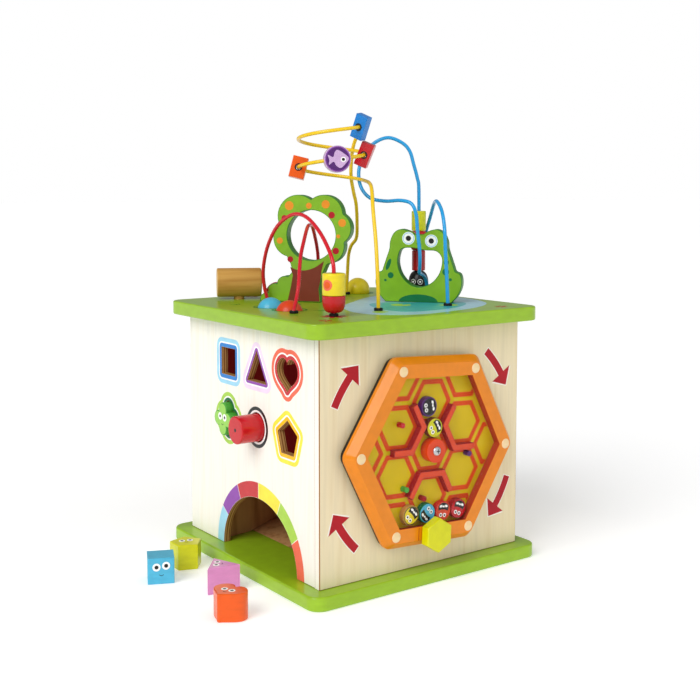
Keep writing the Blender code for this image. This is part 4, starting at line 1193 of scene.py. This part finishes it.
def pond():
    """Water, lily pads and flowers painted on the top plate."""
    flat = shift(0, 0, TOP)
    reach = PLATE / 2 - 6
    water = smooth_outline([(-30, -27), (-58, -76), (-62, -118), (-40, -148), (0, -160), (52, -152),
                            (100, -138), (142, -108), (162, -60), (reach - 4, 0), (158, 52),
                            (112, 62), (60, 44), (14, 10)], 6)
    inner = smooth_outline([(6, -34), (-14, -84), (-8, -128), (40, -134), (86, -120), (120, -92),
                            (118, -62), (70, -46), (34, -22)], 6)
    middles = [spot[:2] for spot in BALLS.values()]
    holes = [circle(BALL_RADIUS + 2.6, 48, (x, y)) for x, y in middles if x > 0 and y < 60]
    marks("print_pond", [[water] + holes], flat, AQUA, "cube")
    marks("print_pond_deep", [[inner]], flat, TEAL, "cube", 1)
    pads = [(36, -62, 13, 0.4), (86, -98, 12, 2.0), (136, -36, 12, 1.2), (118, 36, 10, 3.0),
            (-36, -112, 10, 5.2)]
    outlines = []
    for x, y, radius, notch in pads:
        leaf = [(x + 2, y)]
        leaf += [(x + radius * cos(a), y + radius * sin(a))
                 for a in (notch + 0.3 + (2 * pi - 0.6) * step / 28 for step in range(29))]
        outlines.append([leaf])
    marks("print_lily_pads", outlines, flat, SPRING, "cube", 2)
    petals = []
    for x, y, radius, count in ((-108, -117, 15, 8), (128, -150, 8, 6), (-140, -146, 8, 6),
                                (-60, 150, 9, 6), (40, 146, 9, 6)):
        for a in around(count):
            spot = (x + radius * 0.68 * cos(a), y + radius * 0.68 * sin(a))
            petals.append([oval(radius * 0.42, radius * 0.2, spot, a)])
    marks("print_petals", petals, flat, CRIMSON, "cube")
    # Dark green rings round the ball holes: painted shade at the holes' rims.
    rings = [[circle(BALL_RADIUS + 5.5, 48, spot), circle(BALL_RADIUS + 3, 48, spot)]
             for spot in middles]
    marks("ball_hole_shade_rings", rings, flat, LEAF_EDGE, "cube")
    grass = []
    for x, y in ((-66, 20), (-20, -8), (-84, -60), (-30, 90), (20, 110), (-130, 66)):
        for lean in (-0.5, 0, 0.5):
            foot = x + 4 * lean
            grass.append([[(foot - 1.4, y), (foot + 1.4, y), (x + 14 * lean, y + 12)]])
    marks("print_grass", grass, flat, LEAF_EDGE, "cube")


# ---------------------------------------------------------------- bead wires
HELIX_MIDDLE = Vector((-18.6, 13.5, 0))
HELIX_RADIUS = 44
HELIX_START, HELIX_END = -16, 664         # degrees round from +X
HELIX_BOTTOM, HELIX_TOP = 160, 229        # above the top plate


def helix(angle):
    """A point of the coiled wire and its direction there."""
    share = (angle - HELIX_START) / (HELIX_END - HELIX_START)
    a = radians(angle)
    height = HELIX_BOTTOM + (HELIX_TOP - HELIX_BOTTOM) * share
    climb = (HELIX_TOP - HELIX_BOTTOM) / radians(HELIX_END - HELIX_START)
    point = HELIX_MIDDLE + Vector((HELIX_RADIUS * cos(a), HELIX_RADIUS * sin(a), height))
    along = Vector((-HELIX_RADIUS * sin(a), HELIX_RADIUS * cos(a), climb)).normalized()
    return point, along


# listed points of each wire; heights are above the top plate
WIRES = {
    "wire_red_outer": [
        (-81, 74, 0), (-86, 74, 22), (-91, 68, 44), (-95, 52, 72), (-97, 28, 98), (-98, 0, 113),
        (-98, -24, 118), (-99, -50, 113), (-101, -78, 97), (-105, -102, 78), (-107.5, -114, 64),
        (-108, -117, 53), (-108, -117, 30), (-108, -117, 0)],
    "wire_red_inner": [
        (-128, -62, 0), (-118, -52, 15), (-110, -45, 31), (-102, -35, 49), (-92, -23, 67),
        (-75, -5, 85), (-58, 14, 98), (-46, 27, 102), (-33, 39, 99), (-19, 53, 84),
        (-7, 65, 65), (-1, 72, 45), (3, 77, 22), (4, 79, 0)],
    "wire_yellow": [
        (-28, -98, 0), (-28, -97, 32), (-22, -85, 82), (-13, -67, 123), (-2, -50, 146),
        (11, -28, 156)],
    "wire_blue_tall": [
        (101, -18, 0), (101, -18, 60), (101, -18, 145), (99, -17, 163), (94, -15, 182),
        (89, -13, 199), (81, -7, 210), (66, 4, 217), (51, 15, 210), (39, 22, 194), (31, 23, 172),
        (29, 15, 151), (32, -1, 137), (41, -22, 133), (49, -44, 134), (54, -60, 130),
        (56, -67, 117), (57, -69, 96), (60, -70, 70), (63, -67, 54), (69, -59, 43), (75, -52, 39),
        (84, -47, 36), (92, -43, 31), (97, -41, 20), (98, -40, 0)],
    "wire_blue_small": [
        (79, -104, 0), (78, -103, 33), (77, -101, 71), (78, -98, 97), (83, -87, 119),
        (93, -66, 132), (107, -43, 130), (118, -22, 112), (124, -4, 86), (127, 9, 50),
        (128, 14, 24), (128, 14, 0)],
}
YELLOW_RETURN = [
    (14, -14, 230), (23, 4, 228), (26, 19, 220), (26, 30, 201), (29, 38, 169), (35, 41, 147),
    (43, 45, 127), (54, 58, 100), (60, 68, 81), (60, 80, 70), (64, 92, 55), (67, 99, 27),
    (66, 100, 0)]


def wires():
    looks = {"red": (WIRE_RED, "wire_red"), "yellow": (WIRE_YELLOW, "wire_yellow"),
             "blue": (WIRE_BLUE, "wire_blue")}
    for name, chosen in WIRES.items():
        look, slot = looks[name.split("_")[1]]
        points = [Vector(point) for point in chosen]
        if name == "wire_yellow":
            points += [helix(angle)[0] for angle in range(HELIX_START, HELIX_END + 1, 10)]
            points += [Vector(point) for point in YELLOW_RETURN]
        feet = (points[0].copy(), points[-1].copy())
        for foot, index in zip(feet, (0, -1)):
            points[index] = foot + Vector((0, 0, 3))
            number = 1 if index == 0 else 2
            ferrule = turned(rounded([(WIRE_RADIUS + 0.1, 0), (FERRULE_RADIUS, 0),
                                      (FERRULE_RADIUS, FERRULE_HEIGHT),
                                      (WIRE_RADIUS + 0.1, FERRULE_HEIGHT)], 0.9), 32)
            set_down(f"{name}_ferrule_{number}", ferrule, shift(foot.x, foot.y, TOP), [RUBBER],
                     "cube")
        sunk = Vector((0, 0, -WIRE_SUNK))
        path = [feet[0] + sunk] + smooth_path(points, 5) + [feet[1] + sunk]
        curve = bpy.data.curves.new(name, "CURVE")
        curve.dimensions = "3D"
        curve.bevel_depth = WIRE_RADIUS * MM
        curve.bevel_resolution = 4
        curve.use_fill_caps = True
        spline = curve.splines.new("POLY")
        spline.points.add(len(path) - 1)
        for point, spot in zip(spline.points, path):
            point.co = (spot.x * MM, spot.y * MM, (spot.z + TOP) * MM, 1)
        curve.splines[0].use_smooth = True
        curve.materials.append(look)
        wire = bpy.data.objects.new(f"bent_{name}", curve)
        link(wire)
        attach(wire, "cube")
        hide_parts(name)


def bead(profile, edge):
    """A turned bead with the hole for its wire."""
    points = [(BEAD_HOLE, profile[0][1])] + profile + [(BEAD_HOLE, profile[-1][1])]
    return turned(rounded(points, edge))


def stacked_beads():
    """Turned beads on the upright ends of two wires."""
    face_on = atan2(-cos(FIGURE_FACING), sin(FIGURE_FACING))
    x, y, z = WIRES["wire_red_outer"][-1]
    place = shift(x, y, TOP + DRUM_FOOT)
    egg = [(6.5, 0), (9.4, 1.2), (11.6, 3.6), (13.0, 7.4), (13.6, 12), (13.8, 20)]
    set_down("bead_egg", bead(egg, 0.8), place, [RED], "bead_egg_red",
             ["bead_egg_red"])
    cup = [(13.8, 20.4), (13.8, 45), (12.8, 46.4)]
    set_down("bead_cup", bead(cup, 1.0), place, [YELLOW], "bead_cup_yellow",
             ["bead_cup_yellow"])
    for name, size, look, level in (("bead_cup_sun", 6.6, CORAL, 0),
                                    ("bead_cup_sun_middle", 4, ORANGE, 1)):
        wrapped_mark(name, 13.8, 33, face_on - 0.35, size, place, look, "bead_cup_yellow",
                     level)

    x, y, z = WIRES["wire_blue_tall"][0]
    place = shift(x, y, TOP + DRUM_FOOT)
    dome = [(13.5, 0), (13.5, 19)]
    dome += [(4.6 + 8.9 * cos(a), 19 + 15.5 * sin(a)) for a in around(32)[1:9]]
    set_down("bead_beetle", bead(dome, 0.9), place, [BLACK], "bead_bug",
             ["bead_bug"])
    for number, lean in ((1, -0.36), (2, 0.36)):
        spots = ((3.7, WHITE, 0), (2.9, BLACK, 1), (1.4, WHITE, 2))
        for level, (size, look, over) in enumerate(spots):
            wrapped_mark(f"beetle_eye_{number}_{level}", 13.5, 20.5, face_on + lean, size, place,
                         look, "bead_bug", over)
    drums = (("bead_red_drum", [(9, 34.9), (9, 62)], RED, "red_paint"),
             ("bead_red_cap", [(9, 62.4), (12.2, 68), (12.2, 84), (9, 88)], RED, "red_paint"),
             ("bead_yellow_drum", [(9.6, 88.4), (9.6, 115)], LIME, "yellow_paint"))
    for node, profile, look, slot in drums:
        set_down(f"turned_{node}", bead(profile, 1.6), place, [look], node, [node])


def coil_frame(angle, inward, tilt):
    """X out from the coil's axis, Y up and Z along the wire, at one place on the coil."""
    point, along = helix(angle)
    outward = Vector((cos(radians(angle)), sin(radians(angle)), 0))
    upward = along.cross(outward)
    turn = Matrix((outward, upward, along)).transposed().to_4x4()
    return Matrix.Translation(point + Vector((0, 0, TOP)) - outward * inward) @ turn @ spin(tilt)


def coil_beads():
    """Three printed blocks and a fish on the coil."""
    for name, angle, x, y, tilt, look, leaf, slot in (
            ("bead_orange_block", 144, 10, 14, -14, ORANGE, LEMON, "bright_orange_paint"),
            ("bead_red_block", 309, 8.5, 15.5, 24, RED, PINK, "red_paint"),
            ("bead_blue_block", 652, 8.5, 15.5, 24, BLUE, PALE_SKY, "blue_paint")):
        outline = [(x, y), (-x, y), (-x, -y), (x, -y)]
        place = coil_frame(angle, 0.35, radians(tilt))
        shape = slab([outline, circle(BEAD_HOLE, 28)], -COIL_BLOCK_HALF, COIL_BLOCK_HALF, 0.9)
        set_down(f"wooden_{name}", shape, place, [look, look], name, [name])
        # Black rings painted round each hole on both faces: painted shade at the holes' rims.
        for side, turn in (("front", 0), ("back", pi)):
            marks(f"{name}_hole_shade_{side}", [[circle(5, 28), circle(BEAD_HOLE + 0.1, 28)]],
                  place @ spin(turn, "Y") @ shift(0, 0, COIL_BLOCK_HALF), BLACK, name)
        inward = place @ spin(-pi / 2, "Y") @ shift(0, 0, x)
        marks(f"{name}_leaf", [[oval(3, 8, (0, 0), 0.3)]], inward, leaf, name)

    place = coil_frame(243, 1.75, 0) @ spin(pi / 2, "Y")
    disc = slab([circle(FISH_RADIUS, 64)], -FISH_HALF, FISH_HALF, 1)
    set_down("fish_disc", disc, place, [PURPLE, LILAC], "bead_fish", ["bead_fish"])
    body = smooth_outline([(14.2, -1), (9, 5.6), (1.5, 11.4), (-2.8, 8.8), (-5.6, 3), (-12, 7),
                           (-10.6, 0.4), (-12, -6), (-5.6, -2.6), (-2.8, -8.2), (2.5, -11.6),
                           (9, -7)], 3)
    for side, turn in (("front", 0), ("back", pi)):
        face = place @ spin(turn, "Y") @ shift(0, 0, FISH_HALF) @ spin(pi - turn)
        marks(f"fish_print_{side}", [[body]], face, LILAC, "bead_fish")
        marks(f"fish_rim_{side}", [[circle(15.6, 56), circle(14.8, 56)]], face, VIOLET, "bead_fish")
        eyes(f"fish_{side}", [(7, -1.4, 3.3)], face, "bead_fish", 0.6)


# ---------------------------------------------------------------- balls and mallet
BALLS = {
    # position on the plate, height of the middle above it, paint, slot
    "ball_blue": (-111, 18, -5, SKY, "blue_paint"),
    "ball_orange": (-111, -26, -5, RED_ORANGE, "bright_orange_paint"),
    "ball_red": (-40, 114, 5, RED, "red_paint"),
    "ball_yellow": (92, 108, 5, YELLOW, "yellow_paint"),
}


def balls():
    profile = [(0, -BALL_RADIUS)]
    profile += [(BALL_RADIUS * sin(a), -BALL_RADIUS * cos(a))
                for a in (pi * step / 32 for step in range(1, 32))]
    profile += [(0, BALL_RADIUS)]
    for name, (x, y, z, look, slot) in BALLS.items():
        set_down(f"wooden_{name}", turned(profile, 56), shift(x, y, TOP + z), [look], name,
                 [name])


def mallet():
    place = shift(*MALLET_HOLE, TOP + MALLET_LEVEL)
    lying = place @ spin(MALLET_TURN) @ spin(pi / 2, "Y")
    profile = [(0, -HEAD_HALF), (HEAD_RADIUS, -HEAD_HALF), (HEAD_RADIUS, HEAD_HALF), (0, HEAD_HALF)]
    head = turned(rounded(profile, 2.2), 64)
    for face in head.faces:
        face.material_index = 1 if abs(face.calc_center_median().z) > HEAD_HALF - 0.4 else 0
    set_down("wooden_mallet_head", head, lying, [BEECH, END_GRAIN], "mallet",
             ["mallet_head"])
    shaft = turned(rounded([(0, -SHAFT_LENGTH), (SHAFT_RADIUS, -SHAFT_LENGTH), (SHAFT_RADIUS, 1.7),
                            (0, 1.7)], 1.5), 32)
    set_down("wooden_mallet_handle", shaft, place, [BEECH], "mallet", ["mallet_handle"])


# ---------------------------------------------------------------- studio
def studio():
    scene = bpy.context.scene
    scene.view_settings.view_transform = "Standard"
    world = bpy.data.worlds.new("studio")
    scene.world = world
    world.use_nodes = True
    nodes, links = world.node_tree.nodes, world.node_tree.links
    sky = nodes["Background"]
    dial(sky, Color=(1, 1, 1, 1))
    strength = nodes.new("ShaderNodeMapRange")
    dial(strength, To_Min=SKY_LIGHT, To_Max=1.0)
    links.new(nodes.new("ShaderNodeLightPath").outputs["Is Camera Ray"], strength.inputs["Value"])
    links.new(strength.outputs["Result"], sky.inputs["Strength"])

    mesh = bpy.data.meshes.new("floor")
    far = FLOOR_REACH
    mesh.from_pydata([(-far, -far, 0), (far, -far, 0), (far, far, 0), (-far, far, 0)], [],
                     [(0, 1, 2, 3)])
    surface = new_surface("pale floor", 0.6, 0.0)
    dial(shader_of(surface), Base_Color=(0.95, 0.95, 0.95, 1), Emission_Color=(1, 1, 1, 1),
         Emission_Strength=FLOOR_GLOW)
    mesh.materials.append(surface)
    floor = bpy.data.objects.new("floor", mesh)
    floor.location.z = -FLOOR_DROP
    link(floor)

    for name, towards, softness, power, shine in SUNS:
        lamp = bpy.data.lights.new(name, "SUN")
        lamp.energy = power
        lamp.specular_factor = shine
        lamp.angle = radians(softness)
        holder = bpy.data.objects.new(name, lamp)
        holder.rotation_euler = Vector(towards).to_track_quat("-Z", "Y").to_euler()
        link(holder)


def camera():
    lens = bpy.data.cameras.new("camera")
    lens.sensor_width = 36
    lens.lens = LENS
    lens.shift_y = LENS_SHIFT
    eye = bpy.data.objects.new("camera", lens)
    eye.location = (sin(CAMERA_TURN) * CAMERA_AWAY, -cos(CAMERA_TURN) * CAMERA_AWAY, CAMERA_HEIGHT)
    eye.rotation_euler = (pi / 2 - CAMERA_DIP, 0, CAMERA_TURN)
    link(eye)
    bpy.context.scene.camera = eye


for build in (camera, plates, panels, inside, sorter_prints, arrows, blocks, maze_wheel, gears,
              sliders, tree, frog, pond, wires, stacked_beads, coil_beads, balls, mallet, studio):
    build()
